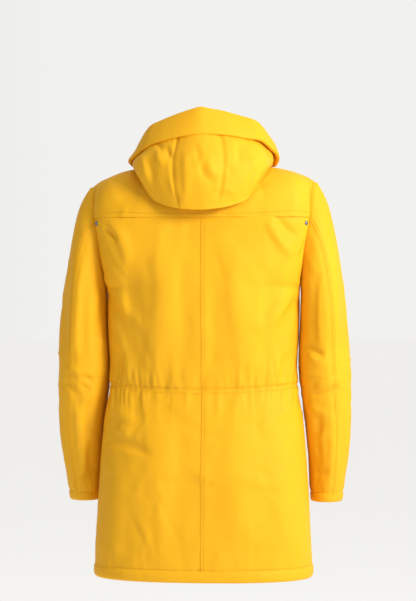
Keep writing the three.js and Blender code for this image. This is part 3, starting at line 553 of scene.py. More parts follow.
def stitches(name, rows, every=4.4):
    """Short stitches along rows of (points, normals, flow), as one piece."""
    bm = bmesh.new()
    flow = bm.verts.layers.float.new("flow")
    for points, normals, values in rows:
        step = np.linalg.norm(np.diff(points, axis=0), axis=1)
        far = np.concatenate([[0], np.cumsum(step)])
        for place in np.arange(every / 2, far[-1], every):
            i = int(np.searchsorted(far, place)) - 1
            t = (place - far[i]) / step[i]
            middle = points[i] * (1 - t) + points[i + 1] * t
            along = Vector(points[i + 1] - points[i]).normalized()
            up = Vector(normals[i])
            side = up.cross(along).normalized()
            up = along.cross(side)
            turn = Matrix((along * 2.9, side * 0.75, up * 0.55)).transposed().to_4x4()
            matrix = Matrix.Translation(Vector(middle) * MM) @ Matrix.Scale(MM, 4) @ turn
            made = bmesh.ops.create_cube(bm, size=1, matrix=matrix)
            for vert in made["verts"]:
                vert[flow] = values[i]
    return linked(name, bm, material_of("thread"))


def row_on(at, u, v, relief=None, core=None, spans=None):
    """A stitch row on a surface; spans holds the surface's full ranges, for its normals."""
    (u0, u1), (v0, v1) = spans
    u, v = np.broadcast_arrays(np.asarray(u, float), np.asarray(v, float))
    all_u, all_v = np.append(u, [u0, u1, u0, u1]), np.append(v, [v0, v0, v1, v1])
    point, normal = placed(at, all_u, all_v, relief, core)
    return point[:-4] + normal[:-4] * 0.12, normal[:-4], v


def dome(name, radius, height, centre, normal):
    """A pressed metal dome with a rim."""
    bm = bmesh.new()
    bmesh.ops.create_uvsphere(bm, u_segments=24, v_segments=14, radius=1)
    turn = Vector(normal).to_track_quat("Z", "Y").to_matrix()
    for vert in bm.verts:
        far = min(1.0, math.hypot(vert.co.x, vert.co.y))
        cap = height * (0.62 + 0.38 * math.sqrt(max(0, 1 - (far / 0.7) ** 2))) if far < 0.7 else None
        rim = height * 0.62 * math.sqrt(max(0, 1 - max(0, (far - 0.86) / 0.14) ** 2))
        lift = (rim if cap is None else cap) if vert.co.z > 0 else 0
        out = Vector((vert.co.x * radius, vert.co.y * radius, lift))
        vert.co = (Vector(centre) + turn @ out) * MM
    bmesh.ops.remove_doubles(bm, verts=bm.verts, dist=1e-6)
    bmesh.ops.recalc_face_normals(bm, faces=bm.faces)
    return linked(name, bm, material_of("metal"))


def stands_for(nodes):
    """Takes the place of CAD nodes by hiding them."""
    if nodes:
        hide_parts(*nodes)


def rides(obj, body, *nodes):
    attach(obj, body)
    stands_for(nodes)


def bends(obj, bodies, ends, start, end, *nodes):
    """Applies a piece's modifiers, bakes its place into its mesh, reads its flow and hides the nodes it
    stands for; bodies, ends, start and end are not used.
    """
    apply_modifiers(obj)
    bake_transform(obj)
    count = len(obj.data.vertices)
    flow = np.zeros(count, np.float32)
    obj.data.attributes["flow"].data.foreach_get("value", flow)
    stands_for(nodes)


# ---- Materials ----


def dial(node, **values):
    """Sets a node's inputs by name, with _ for a space."""
    for name, value in values.items():
        node.inputs[name.replace("_", " ")].default_value = value


def node_of(tree, kind, **values):
    node = tree.nodes.new("ShaderNode" + kind)
    dial(node, **values)
    return node


def new_material(name):
    material = bpy.data.materials.new(name)
    material.use_nodes = True
    tree = material.node_tree
    return tree, tree.nodes["Principled BSDF"]


def noise_node(tree, scale, detail, stretch=(1, 1, 1)):
    coords = node_of(tree, "TexCoord")
    mapping = node_of(tree, "Mapping", Scale=stretch)
    texture = node_of(tree, "TexNoise", Scale=scale, Detail=detail)
    tree.links.new(coords.outputs["Object"], mapping.inputs["Vector"])
    tree.links.new(mapping.outputs["Vector"], texture.inputs["Vector"])
    return texture


def bump_node(tree, shader, layers):
    """Bumps laid over each other: (texture, strength, distance in metres)."""
    below = None
    for texture, strength, distance in layers:
        bump = node_of(tree, "Bump", Strength=strength, Distance=distance)
        tree.links.new(texture.outputs[0], bump.inputs["Height"])
        if below is not None:
            tree.links.new(below.outputs["Normal"], bump.inputs["Normal"])
        below = bump
    tree.links.new(below.outputs["Normal"], shader.inputs["Normal"])


def coated_cloth(name, dark, light, roughness, sheen):
    """Woven cloth with a matte coating, slightly uneven in colour."""
    tree, shader = new_material(name)
    ramp = node_of(tree, "ValToRGB")
    for element, place, colour in zip(ramp.color_ramp.elements, (0.3, 0.7), (dark, light)):
        element.position, element.color = place, (*colour, 1)
    tree.links.new(noise_node(tree, 7, 4).outputs["Fac"], ramp.inputs["Fac"])
    tree.links.new(ramp.outputs["Color"], shader.inputs["Base Color"])
    dial(shader, Roughness=roughness, Sheen_Weight=sheen, Sheen_Roughness=0.5, Specular_IOR_Level=0.16)
    weave = noise_node(tree, 900, 2, (1, 1, 1.6))
    slub = noise_node(tree, 60, 5, (1, 1, 0.45))
    bump_node(tree, shader, [(slub, 0.25, 0.0016), (weave, 0.25, 0.0004)])


def metal(name, colour, roughness):
    """Dull metal whose roughness varies a little with wear."""
    tree, shader = new_material(name)
    dial(shader, Base_Color=(*colour, 1), Metallic=1)
    spread = node_of(tree, "MapRange", To_Min=roughness - 0.08, To_Max=roughness + 0.1)
    tree.links.new(noise_node(tree, 300, 3).outputs["Fac"], spread.inputs["Value"])
    tree.links.new(spread.outputs["Result"], shader.inputs["Roughness"])


def material_of(slot):
    """The coat's material for a slot. The first call makes them all."""
    if "parka_shell" not in bpy.data.materials:
        chosen = bpy.context.scene.parka
        coated_cloth("parka_shell", chosen.shell_shade, chosen.shell_colour, 0.62, 0.0)
        coated_cloth("parka_lining", chosen.lining_shade, chosen.lining_colour, 0.7, 0.2)
        coated_cloth("parka_tape", (0.42, 0.18, 0.012), (0.5, 0.23, 0.016), 0.8, 0.1)
        coated_cloth("parka_thread", (0.7, 0.33, 0.008), (0.74, 0.36, 0.01), 0.7, 0.0)
        metal("parka_metal", (0.2, 0.22, 0.27), 0.34)
    return bpy.data.materials["parka_" + slot]


# ---- Body ----

BACK_FOLDS = [
    # from the armholes down towards the middle
    (204, -132, 172, -160, 6, -4.5, 3), (190, -118, 150, -205, 14, 4.5, 6),
    (206, -225, 118, -345, 16, 5, -8), (200, -262, 150, -395, 13, -4, 6),
    (-158, -108, -206, -152, 7, -5, -3), (-140, -112, -196, -190, 13, 4.5, -6),
    (-219, -156, -205, -198, 5, -4.5, 2), (-204, -235, -112, -350, 17, 5, 8),
    (-200, -270, -158, -400, 12, -4, -6),
    # upright bands between the shoulder blades and the waist
    (84, -150, 96, -430, 26, 4.5, 8), (146, -210, 134, -440, 20, -4.5, -6),
    (40, -190, 34, -440, 20, -2.5, 4), (-76, -160, -92, -430, 28, 4, -8),
    (-138, -215, -128, -440, 20, -3.5, 6), (-34, -230, -30, -430, 18, -2, -4),
    (186, -380, 172, -458, 12, -6, 2), (-184, -390, -170, -452, 11, -5, -2),
    # skirt
    (176, -548, 150, -566, 17, 4, 2), (206, -578, 96, -606, 12, -4.5, 5),
    (196, -505, 128, -540, 13, 3.5, -4), (-192, -500, -120, -545, 14, 3.5, 4),
    (-120, -560, -20, -586, 18, 2, 5), (140, -663, -60, -672, 13, -1.8, 5),
    (-40, -640, -190, -668, 15, 2, -5), (110, -500, 100, -760, 34, 3.5, 6),
    (-70, -500, -96, -800, 36, 3, -8), (40, -520, 56, -820, 30, -2.5, 6),
    (170, -640, 182, -830, 24, 3, -5), (-160, -620, -176, -830, 26, 3, 6),
]


def waist_line(x):
    """The waist seam dips a little at the middle of the back."""
    return WAIST_Z - 10 * (1 - (x / 197) ** 2)


def side_seam(u, z):
    """A fine groove down the side, on a swell that fills the room under the arm."""
    swell = smooth(np.abs(u), 0.9, 1) * smooth(-z, 250, 300) * (1 - smooth(-z, 350, 400))
    return 1.2 * swell - 0.5 * bell((1 - np.abs(u)) * 180, 3)


def drawn_in(x, z):
    return -5 * bell(z - waist_line(x), 26) * (1 - smooth(np.abs(x), 140, 195))


def waist_relief(x, z, seed, height):
    off = z - waist_line(x)
    rng = random.Random(seed)
    puckers = gathers(rng, x, off, -200, 200, 9.5, 3.4, height, 13)
    drawn = drawn_in(x, z) - 1.5 * bell(off, 2.4) - 0.5 * bell(off - 15, 2)
    return drawn + puckers


def hem_puckers(seed, x, z, low):
    return gathers(random.Random(seed), x, z - (HEM_Z + HEM_BAND), low, 228, 17, 6, 1.3, 16)


def back_relief(settings):
    rng = random.Random(settings.seed)
    small = scattered(rng, 70, (-200, 200, -840, -120), (-35, 35), (50, 150), (6, 15), (0.5, 1.7))
    loose = scattered(rng, 26, (-205, 205, -820, -500), (60, 110), (60, 160), (8, 15), (0.5, 1.5))

    def relief(point, u, z):
        x = point[:, 0]
        seams = bell(x, 1.6) * -0.7 + bell(x + 5.5, 5) * 0.6 - 0.3 * bell(x + 10.5, 1.5)
        yoke = 1.2 * bell(z - YOKE_Z + 16, 10) - 2.6 * smooth(z, YOKE_Z, YOKE_Z + 3)
        hem = hem_puckers(5, x, z, -228)
        worn = 1.5 * folds(x, z, BACK_FOLDS) + folds(x, z, small) + folds(x, z, loose)
        worn += 3 * crumple(point, (70, 70, 150), 1) + 1.0 * crumple(point, (26, 26, 34), 2)
        waist = waist_relief(x, z, 11, 3.9 * settings.waist_gather)
        return limited(settings.fold_depth * worn) * within(u) + seams + yoke + hem + side_seam(u, z) + waist

    return relief


def yoke_relief(point, u, rise):
    rng = random.Random(8)
    rows = scattered(rng, 16, (-200, 200, -112, -40), (-70, 70), (40, 110), (6, 13), (0.6, 1.6))
    x, z = point[:, 0], point[:, 2]
    seam = -0.3 * bell(rise * 110, 2) + 1.2 * bell(rise * 110 - 14, 10)
    edge = -1.2 * bell((1 - np.abs(u)) * 200, 4) + 1.2 * bell((1 - np.abs(u)) * 200 - 16, 9)
    return (folds(x, z, rows) + 1.2 * crumple(point, (45, 45, 40), 3)) * within(u) + seam + edge


def front_relief(mirror):
    rng = random.Random(20 + mirror)
    rows = scattered(rng, 46, (20, 205, -840, -80), (-30, 30), (60, 170), (8, 17), (0.7, 2.2))
    rows += [(200, -232, 110, -330, 15, 5, -6), (198, -265, 150, -400, 12, -4, 6),
             (196, -500, 110, -545, 14, 3, 5), (60, -150, 66, -420, 22, 3, 6)]

    def relief(point, u, v):
        x, z = np.abs(point[:, 0]), point[:, 2]
        hem = hem_puckers(6, x, z, 0)
        near = smooth(x, 34, 70)
        worn = folds(x, z, rows) + 2 * crumple(point, (70, 70, 150), 4)
        worn += 0.8 * crumple(point, (26, 26, 34), 5)
        return near * (worn * within(u) + waist_relief(x, z, 12, 2.8)) + side_seam(u, z) + hem

    return relief


class PARKA_OT_body(bpy.types.Operator):
    """Builds the shell of the body: back, yoke, fronts and padded hem"""

    bl_idname = "parka.body"
    bl_label = "Body shell"

    def execute(self, context):
        low = HEM_Z + HEM_BAND - 4
        relief = back_relief(context.scene.parka)
        obj = cloth("shell_back", back_at, (-1, 1, 120), (low, YOKE_Z + 3, 150), "shell", relief)
        rides(obj, "coat", "back_upper_left", "back_upper_right", "back_skirt_left",
              "back_skirt_right")
        obj = cloth("shell_yoke", back_yoke_at, (-1, 1, 100), (0, 1, 30), "shell", yoke_relief)
        rides(obj, "coat", "back_yoke")
        share = across_at(7, WAIST_Z)
        for side, mirror in SIDES:
            obj = cloth(f"shell_front_{side}", whole_at(-1, mirror, low), (share, 1, 56), (0, 1, 130),
                        "shell", front_relief(mirror))
            rides(obj, "coat", f"front_upper_{side}", f"front_skirt_{side}")
        self.hem()
        self.rows(relief, low)
        return {"FINISHED"}

    def hem(self):
        end = math.pi - across_at(7, HEM_Z) * math.pi / 2

        def ring(angle):
            return around_at(angle, np.full_like(angle, HEM_Z + 12))

        def at(angle, turn):
            swell = 1 + 0.1 * crumple(stacked(angle * 200, 0, 0), (14, 14, 14), 6)
            nose = tapered(angle, -end, end, 0.035)
            up, out = section(turn, 13.4 * nose, 7.4 * swell * nose, 0.62)
            ahead, behind = np.minimum(angle + 0.004, math.pi), np.maximum(angle - 0.004, -math.pi)
            normal = unit(np.cross(ring(ahead) - ring(behind), (0, 0, 1)))
            point = ring(angle)
            facing = np.where(np.sum(normal * point, 1) > 0, 1, -1)
            point = point + normal * ((out - 5.2) * facing)[:, None]
            point[:, 2] = HEM_Z + HEM_BAND / 2 + 1 + up
            return point

        obj = roll("hem_roll", at, (-end, end), 300, 20)
        rides(obj, "coat", "hem_band")

    def rows(self, relief, low):
        back, yoke = ((-1, 1), (low, YOKE_Z)), ((-1, 1), (0, 1))
        rows = []
        heights = np.linspace(low, YOKE_Z, 160)
        for x in (-4.5, -10.5):
            u = np.array([across_at(abs(x), z) for z in heights]) * np.sign(x)
            rows.append(row_on(back_at, u, heights, relief, spans=back))
        share = np.linspace(-0.985, 0.985, 150)
        rows.append(row_on(back_yoke_at, share, 0.05, yoke_relief, spans=yoke))
        dip = waist_line(back_at(share, np.full_like(share, WAIST_Z))[:, 0])
        for level in (dip + 5, dip - 6, low + 8):
            rows.append(row_on(back_at, share, level, relief, spans=back))
        rise, up = np.linspace(0.02, 0.98, 40), np.linspace(ARMPIT_Z, YOKE_Z, 60)
        for edge in (0.962, -0.962):
            rows.append(row_on(back_yoke_at, edge, rise, yoke_relief, spans=yoke))
            rows.append(row_on(back_at, edge, up, relief, spans=back))
        rides(stitches("stitches_back", rows), "coat")


# ---- Lining and inside bands ----


def quilted(point, u, v):
    """Quilting lines every 55 mm down and upright lines every 90 mm round, 12 mm inside the shell."""
    channel = np.abs(np.sin(np.pi * point[:, 2] / 55)) ** 0.45
    upright = np.abs(np.sin(np.pi * point[:, 0] / 90)) ** 0.4
    quilt = 2.4 - 2.4 * channel * (0.55 + 0.45 * upright)
    return quilt - 12 + drawn_in(point[:, 0], point[:, 2])


class PARKA_OT_inside(bpy.types.Operator):
    """Builds the quilted lining, the waist casing and its elastic"""

    bl_idname = "parka.inside"
    bl_label = "Lining"

    def execute(self, context):
        low, share = HEM_Z + HEM_BAND, across_at(24, WAIST_Z)
        pieces = (
            ("lining_back", "back_lining", 1, 1, (-0.97, 0.97, 60)),
            ("lining_front_left", "front_lining_left", -1, 1, (share, 0.97, 36)),
            ("lining_front_right", "front_lining_right", -1, -1, (share, 0.97, 36)),
        )
        for name, node, side, mirror, across in pieces:
            obj = cloth(name, whole_at(side, mirror, low), across, (0, 0.97, 110), "lining",
                        quilted, wall=2.5)
            rides(obj, "coat", node)
        casing_end = math.pi - across_at(60, WAIST_Z) * math.pi / 2
        self.band("waist_channel", "waist_casing", "shell", 15, 9.2, casing_end)
        self.band("waist_band", "waist_elastic", "tape", 9, 10.6, math.pi / 2)
        return {"FINISHED"}

    def band(self, name, node, slot, half, depth, end):
        """A ribbed band round the waist, at a depth inside the shell."""

        def ribbed(point, u, v):
            return 0.5 * np.sin(u * 130) - depth + drawn_in(point[:, 0], point[:, 2])

        obj = cloth(name, around_at, (-end, end, 220), (WAIST_Z - half, WAIST_Z + half, 6), slot,
                    ribbed, wall=1)
        rides(obj, "coat", node)


# ---- Collar and hang loop ----


class PARKA_OT_collar(bpy.types.Operator):
    """Builds the padded collar and the webbing hang loop inside it"""

    bl_idname = "parka.collar"
    bl_label = "Collar"

    def execute(self, context):
        end = math.pi - math.asin(16.5 / NECK_HALF)

        def at(angle, turn):
            nose = tapered(angle, -end, end, 0.06)
            up, out = section(turn, COLLAR_HEIGHT / 2 * (0.9 + 0.1 * nose), 3.4 * nose, 0.35)
            quilt = 0.9 * np.abs(np.sin(np.pi * (up + 31) / 21)) * np.sign(out)
            rise = COLLAR_HEIGHT / 2 + up
            return neck_at(angle, -2 * rise / COLLAR_HEIGHT - 2.6 + out + quilt, 1.8 + rise)

        obj = roll("collar", at, (-end, end), 150, 28)
        rides(obj, "coat", "collar_stand")
        path = through([
            [0, [-22.5, 0]], [1, [-22.5, -10]], [2, [-20, -17]], [3, [-13, -20.5]], [4, [0, -20.5]],
            [5, [13, -20.5]], [6, [20, -17]], [7, [22.5, -10]], [8, [22.5, 0]],
        ])

        def strap(u, v):
            middle, ahead = path(u), unit(path(np.minimum(u + 0.02, 8)) - path(np.maximum(u - 0.02, 0)))
            x = middle[:, 0] - ahead[:, 1] * v
            y = middle[:, 1] + ahead[:, 0] * v
            return stacked(x, 51.4 + y, 25.8 + 0.15 * np.sin(u * 9))

        def below(point, v):
            return point - (0, 0, 1)

        obj = cloth("hang_loop_webbing", strap, (0, 8, 60), (-3.5, 3.5, 4), "tape", None, below, 1.5)
        rides(obj, "coat", "hang_loop")
        return {"FINISHED"}


# ---- Sleeves ----

SLEEVE_FOLDS = {
    # across the sleeve from behind, and up
    "left": [
        (262, -440, 232, -458, 6, -4.5, 2), (258, -462, 236, -474, 6, -4, -2),
        (290, -425, 246, -448, 10, 3.5, 3), (228, -470, 262, -500, 10, 3, 3),
        (300, -455, 262, -490, 9, -3, 2), (266, -150, 276, -400, 16, 4, 5),
        (246, -230, 250, -420, 12, -3, -4), (270, -500, 262, -680, 15, 3.5, 5),
        (246, -480, 246, -660, 11, -3, -3), (296, -250, 300, -400, 10, -2.5, 3),
        (238, -560, 276, -600, 12, 2.5, 4), (232, -640, 268, -662, 9, -2.5, 3),
    ],
    "right": [
        (214, -376, 256, -396, 6, -5, -2), (224, -398, 262, -410, 8, 4, 3),
        (232, -480, 291, -466, 7, -5, 3), (240, -462, 292, -448, 9, 4, -2),
        (226, -500, 262, -520, 10, 3, 3), (268, -150, 280, -380, 16, 4, -5),
        (242, -220, 238, -380, 12, -3, 4), (276, -520, 266, -690, 15, 3.5, -5),
        (250, -500, 246, -660, 11, -3, 3), (298, -240, 300, -420, 10, -2.5, -3),
        (236, -580, 272, -560, 12, 2.5, -4), (236, -650, 270, -640, 9, -2.5, 3),
    ],
}


def sleeve_core(mirror):
    """The middle line of a sleeve, which its outward side faces away from."""

    def core(point, along):
        middle = (OUTER_EDGE(along) + INNER_EDGE(along)) / 2
        return stacked(mirror * middle[:, 0], -FORWARD(along), middle[:, 1])

    return core


def sleeve_relief(side, mirror, settings):
    rng = random.Random(31 if side == "left" else 37)
    small = scattered(rng, 60, (-95, 275, -690, -90), (-22, 22), (60, 170), (5, 12), (0.6, 2.0))
    slant = scattered(rng, 26, (-95, 275, -560, -360), (55, 100), (35, 80), (5, 9), (0.6, 1.6))

    def relief(point, turn, along):
        x, z = np.abs(point[:, 0]), point[:, 2]
        cos, sin = np.cos(turn * 2 * np.pi), np.sin(turn * 2 * np.pi)
        arc = (turn - 0.25) * SLEEVE_GIRTH
        behind = smooth(sin, 0.05, 0.35)
        wrapped = sum(folds(arc + k * SLEEVE_GIRTH, z, small + slant) for k in (-1, 0, 1))
        worn = 1.6 * behind * folds(x, z, SLEEVE_FOLDS[side]) + wrapped * (1 - 0.35 * behind)
        worn += 1.8 * crumple(stacked(60 * cos, 60 * sin, z), (40, 40, 110), 7 + mirror)
        ease = smooth(along, 0.02, 0.5)
        from_back, from_front = (turn - BACK_SEAM) * SLEEVE_GIRTH, (turn - FRONT_SEAM) * SLEEVE_GIRTH
        seams = -0.9 * (bell(from_back, 2) + bell(from_front, 2))
        seams += 0.6 * (bell(np.abs(from_back) - 7, 4) + bell(np.abs(from_front) - 7, 4))
        under = smooth(turn, BACK_SEAM, BACK_SEAM + 0.01) * (1 - smooth(turn, FRONT_SEAM - 0.01, FRONT_SEAM))
        elbow = z + ELBOW_DROP + (8 if side == "left" else 0)
        seams -= 0.8 * under * bell(elbow, 2)
        cap = 6 * bell(along - 0.75, 0.75) * smooth(cos, -0.6, 0.9)
        cuff = (5.87 - along) * CUFF_STEP
        puckers = gathers(random.Random(9), arc, -cuff, -90, 270, 13, 4.6, 1.8, 14)
        drawn = -4 * at_root(along) - 1.2 * bell(cuff, 5)
        return limited(settings.fold_depth * 1.2 * worn) * ease + seams + cap + puckers + drawn

    return relief


class PARKA_OT_sleeves(bpy.types.Operator):
    """Builds both sleeves with their linings, seams and padded cuffs"""

    bl_idname = "parka.sleeves"
    bl_label = "Sleeves"

    def execute(self, context):
        for side, mirror in SIDES:
            self.sleeve(sleeve_relief(side, mirror, context.scene.parka), side, mirror)
        return {"FINISHED"}

    def sleeve(self, relief, side, mirror):
        upper, fore = f"{side}_upper_sleeve", f"{side}_forearm_sleeve"
        shoulder = (SHOULDER_BEND, (mirror * SHOULDER_HALF, 0, TIP_Z), (mirror * 290, 0, ARMPIT_Z))
        elbow = (ELBOW_BEND, (mirror * 257, -12, -380), (mirror * 257, -12, -500))
        core, under = sleeve_core(mirror), "shell_yoke"
        pieces = (
            ("cap", 0, CAP_END, 50, ("coat", upper), shoulder, ("top_upper", "under_upper"), "upper"),
            ("arm", CAP_END, SLEEVE_END, 62, (upper, fore), elbow, ("top_lower", "under_lower", "elbow"),
             "lower"),
        )
        for part, low, high, rows, bodies, bend, panels, half in pieces:
            shell = cloth(f"sleeve_{part}_{side}", sleeve_at(mirror), (0, 1, 76), (low, high, rows),
                          "shell", relief, core)
            under = shell
            bends(shell, bodies, *bend, *[f"sleeve_{panel}_{side}" for panel in panels])
            ends = (0.1, CAP_END, 36) if part == "cap" else (CAP_END, 5.9, 40)
            lining = cloth(f"lining_{part}_{side}", sleeve_at(mirror, 9), (0, 1, 40), ends,
                           "lining", self.quilt, core, 2)
            bends(lining, bodies, *bend, f"sleeve_lining_{half}_{side}")
            rows = self.rows(part, sleeve_at(mirror), relief, core)
            bends(stitches(f"stitches_{part}_{side}", rows), bodies, *bend)
        rides(self.cuff(side, mirror), fore, f"cuff_band_{side}")

    def quilt(self, point, turn, along):
        return 1.6 * np.abs(np.sin(np.pi * point[:, 2] / 45)) - 1.6

    def cuff(self, side, mirror):
        outer, inner = sleeve_at(mirror), sleeve_at(mirror, 6)

        def at(turn, around):
            round_turn = stacked(45 * np.cos(turn * 2 * np.pi), 45 * np.sin(turn * 2 * np.pi), 0)
            swell = 1 + 0.12 * crumple(round_turn, (13, 13, 13), 9)
            up, out = section(around, 10.2, 5 * swell, 0.62)
            along = 6 - (CUFF_BAND / 2 + 0.5 + up) / CUFF_STEP
            face = outer(turn, along)
            return face + (face - inner(turn, along)) * ((out - 3.9) / 6)[:, None]

        return roll(f"cuff_roll_{side}", at, (0, 1), 110, 18)

    def rows(self, part, at, relief, core):
        low, high = (0.03, CAP_END) if part == "cap" else (CAP_END, 5.86)
        spans, along = ((0, 1), (low, high)), np.linspace(low, high, 90)
        places = [seam + off / SLEEVE_GIRTH for seam in (BACK_SEAM, FRONT_SEAM) for off in (-4.5, -9)]
        rows = [row_on(at, place, along, relief, core, spans) for place in places]
        if part == "arm":
            turn = np.linspace(BACK_SEAM + 0.01, FRONT_SEAM - 0.01, 80)
            rows.append(row_on(at, turn, 4.06, relief, core, spans))
        return rows


# ---- Hood ----

HOOD_FOLDS = [
    (96, 48, 74, 24, 5, -4.5, 2), (72, 38, 58, 4, 5, -6, 3), (86, 30, 70, -6, 9, 4, -4),
    (10, 40, -2, 2, 6, -3, 2), (-4, 0, -36, -40, 6, -4.5, -8), (-18, 8, -46, -30, 9, 3.5, -6),
    (-54, -2, -66, -26, 6, -3, 2), (-96, 36, -112, -20, 12, 3.5, 4), (-78, 44, -84, 0, 7, -3, -2),
    (30, 30, 26, -70, 14, 3, 4), (108, 10, 96, -44, 9, -3.5, 4), (124, 20, 112, -34, 9, 3.5, 4),
    (-120, 0, -100, -52, 7, -3, -4), (60, -30, 20, -78, 10, 2.5, -6), (-30, -50, -80, -64, 8, 2.5, 4),
]


def hood_relief(point, angle, share):
    x, z = point[:, 0], point[:, 2]
    seam = (np.abs(angle) - HOOD_SEAM) * 2.6
    panel = np.where(seam < 0, (angle / HOOD_SEAM) ** 2, np.clip(seam / 120, 0, 1) * 1.0)
    puff = 4 * (1 - panel**2) * smooth(share, 0.1, 0.5) * (1 - smooth(share, 0.85, 1))
    seams = np.where(angle > 0, 1, 0.15) * (0.5 * bell(seam + 8, 4) - 0.9 * bell(seam, 1.8))
    worn = folds(x, z, HOOD_FOLDS) + 2.4 * crumple(point, (46, 46, 52), 12)
    worn += 1.0 * crumple(point, (18, 18, 24), 13)
    ends = 1 - smooth(np.abs(angle), 70, 110)
    return puff + seams + worn * (0.25 + 0.75 * ends)


def brim_at(angle, turn):
    surface = hood_at(["fold", "brim_edge"])
    nose = tapered(angle, -HOOD_END, HOOD_END, 7)
    wave = crumple(stacked(angle * 2.2, 0, 0), (30, 30, 30), 14)
    up, out = section(turn, 0.5, 4.6 + 0.8 * wave, 0.36)
    share = np.clip(0.5 - up * nose, 0, 1)
    base = surface(angle, share)
    step = 0.2
    after, before = np.minimum(angle + step, HOOD_END), np.maximum(angle - step, -HOOD_END)
    ahead = surface(after, share) - surface(before, share)
    down = surface(angle, np.full_like(angle, 0.8)) - surface(angle, np.full_like(angle, 0.2))
    normal = unit(np.cross(ahead, down))
    normal *= np.where(np.sum(normal * (base * (1, 1, 0) - (0, -20, 0)), 1) < 0, -1, 1)[:, None]
    stitched = -0.9 * bell((share - 0.9) * 56, 3) - 0.9 * bell((share - 0.1) * 56, 3)
    swell = (out - 3 + np.where(out > 0, stitched, 0)) * nose
    point = base + normal * swell[:, None]
    point[:, 2] += 3 * bell(angle, 7) * (1 - share)
    return point


class PARKA_OT_hood(bpy.types.Operator):
    """Builds the hood: three-panel bowl, turned-back brim, lining and the part that joins the neck"""

    bl_idname = "parka.hood"
    bl_label = "Hood"

    def execute(self, context):
        wall = hood_at(["wall_top", "wall_high", "wall_low", "bottom"])
        neck = hood_at(["bottom", "return_low"], True)
        obj = cloth("hood_bowl", wall, (-HOOD_END, HOOD_END, 170), (0, 1, 46), "shell", hood_relief)
        rides(obj, "hood", "hood_centre", "hood_left", "hood_right")
        obj = roll("hood_brim_roll", brim_at, (-HOOD_END, HOOD_END), 220, 36)
        rides(obj, "hood", "hood_brim")

        def soft(offset, height, seed):
            return lambda point, angle, share: offset + height * crumple(point, (30, 30, 30), seed)

        obj = cloth("hood_inside", wall, (-100, 100, 80), (0.02, 0.86, 24), "lining",
                    soft(-6.5, 0.5, 15), wall=1.6)
        rides(obj, "hood", "hood_lining")
        obj = cloth("hood_return", neck, (-100, 100, 90), (0, 1, 24), "shell", soft(0, 0.8, 16),
                    wall=1.8)
        bends(obj, ("coat", "hood"), (1, 0.1), (0, 60, 5), (0, 146, -94), "hood_neck")
        share, spans = np.linspace(0.12, 0.96, 50), ((-HOOD_END, HOOD_END), (0, 1))
        rows = [row_on(wall, HOOD_SEAM - off, share, hood_relief, spans=spans) for off in (1.9, 3.6)]
        rides(stitches("stitches_hood", rows), "hood")
        return {"FINISHED"}


# ---- Centre front ----


class PARKA_OT_front(bpy.types.Operator):
    """Builds the zip's tapes and teeth, the storm flap and its press studs"""

    bl_idname = "parka.front"
    bl_label = "Zip and storm flap"

    def execute(self, context):
        for side, mirror in SIDES:
            self.zip(side, mirror)
        top, bottom = -FLAP_TOP, -(ZIP_BOTTOM + 12)

        def flap(up, turn):
            nose = tapered(up, bottom, top, 3)
            wide, out = section(turn, FLAP_HALF * (0.9 + 0.1 * nose), 2.6 * nose, 0.3)
            wave = 0.7 * crumple(stacked(wide, 0, up), (30, 30, 60), 18)
            seam = 0.8 * bell(FLAP_HALF - 6 - np.abs(wide), 2.2) * np.sign(out) * (np.abs(out) > 1)
            return front_point(wide, -FLAP_LIFT - 1.5 - out - np.where(out > 0, wave, 0) + seam, up)

        obj = roll("storm_flap_cloth", flap, (bottom, top), 150, 44)
        rides(obj, "storm_flap", "storm_flap")

        def foot(up, turn):
            nose = tapered(up, bottom, top, 3)
            deep, out = section(turn, 4, 1.1 * nose, 0.4)
            return front_point(FLAP_HALF - 1.1 + out, -4.6 + deep, up)

        obj = roll("storm_flap_foot", foot, (bottom, top), 60, 10)
        rides(obj, "storm_flap")
        ahead = front_point(0, -1, 0) - front_point(0, 0, 0)
        for i in range(STUD_COUNT):
            up = top - 30 + (bottom + 60 - top + 30) * i / (STUD_COUNT - 1)
            centre = front_point(STUD_X, -FLAP_LIFT - 3.6, up)
            obj = dome(f"stud_cap_{i + 1}", 6.4, 2.6, centre, ahead)
            rides(obj, "storm_flap", f"flap_cap_{i + 1}")
        for name in [f"flap_stud_{i + 1}" for i in range(STUD_COUNT)] + ["zip_slider", "zip_pull"]:
            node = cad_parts[name]
            node.data.materials.clear()
            node.data.materials.append(material_of("metal"))
        rows = []
        heights = np.linspace(bottom + 6, top - 6, 160)
        for x in (6 - FLAP_HALF, FLAP_HALF - 6):
            points = front_point(x, -FLAP_LIFT - 3.6, heights)
            rows.append((points, np.broadcast_to(ahead, points.shape), heights))
        rides(stitches("stitches_flap", rows), "storm_flap")
        return {"FINISHED"}

    def zip(self, side, mirror):
        def tape(u, v):
            return front_point(mirror * u, 5 + 0.1 * np.sin(v * 0.8), v)

        obj = cloth(f"zip_cloth_{side}", tape, (1.2, 15, 8), (-ZIP_BOTTOM, -ZIP_TOP, 160), "tape",
                    wall=1.1)
        rides(obj, "coat", f"zip_tape_{side}")
        bm = bmesh.new()
        lean = Matrix.Rotation(-math.atan(SLOPE), 4, "X")
        for i in range(int((ZIP_BOTTOM - ZIP_TOP) / 4)):
            up = -ZIP_BOTTOM + 1 + 4 * i + (2 if mirror > 0 else 0)
            place = Vector(front_point(mirror * 1.5, 3.8, up)) * MM
            scale = Matrix.Diagonal((3.6 * MM, 4.4 * MM, 1.7 * MM, 1))
            bmesh.ops.create_cube(bm, size=1, matrix=Matrix.Translation(place) @ lean @ scale)
        rides(linked(f"zip_teeth_{side}", bm, material_of("metal")), "coat")


# ---- Pockets and rivets ----


def pocket_at(mirror):
    """The front under a pocket: u from its inner to its outer edge, v from its top down."""

    def at(u, v):
        across = POCKET_IN + (POCKET_OUT - POCKET_IN) * u
        return body_at(-1, mirror * across, -POCKET_TOP - v * POCKET_HEIGHT)

    return at


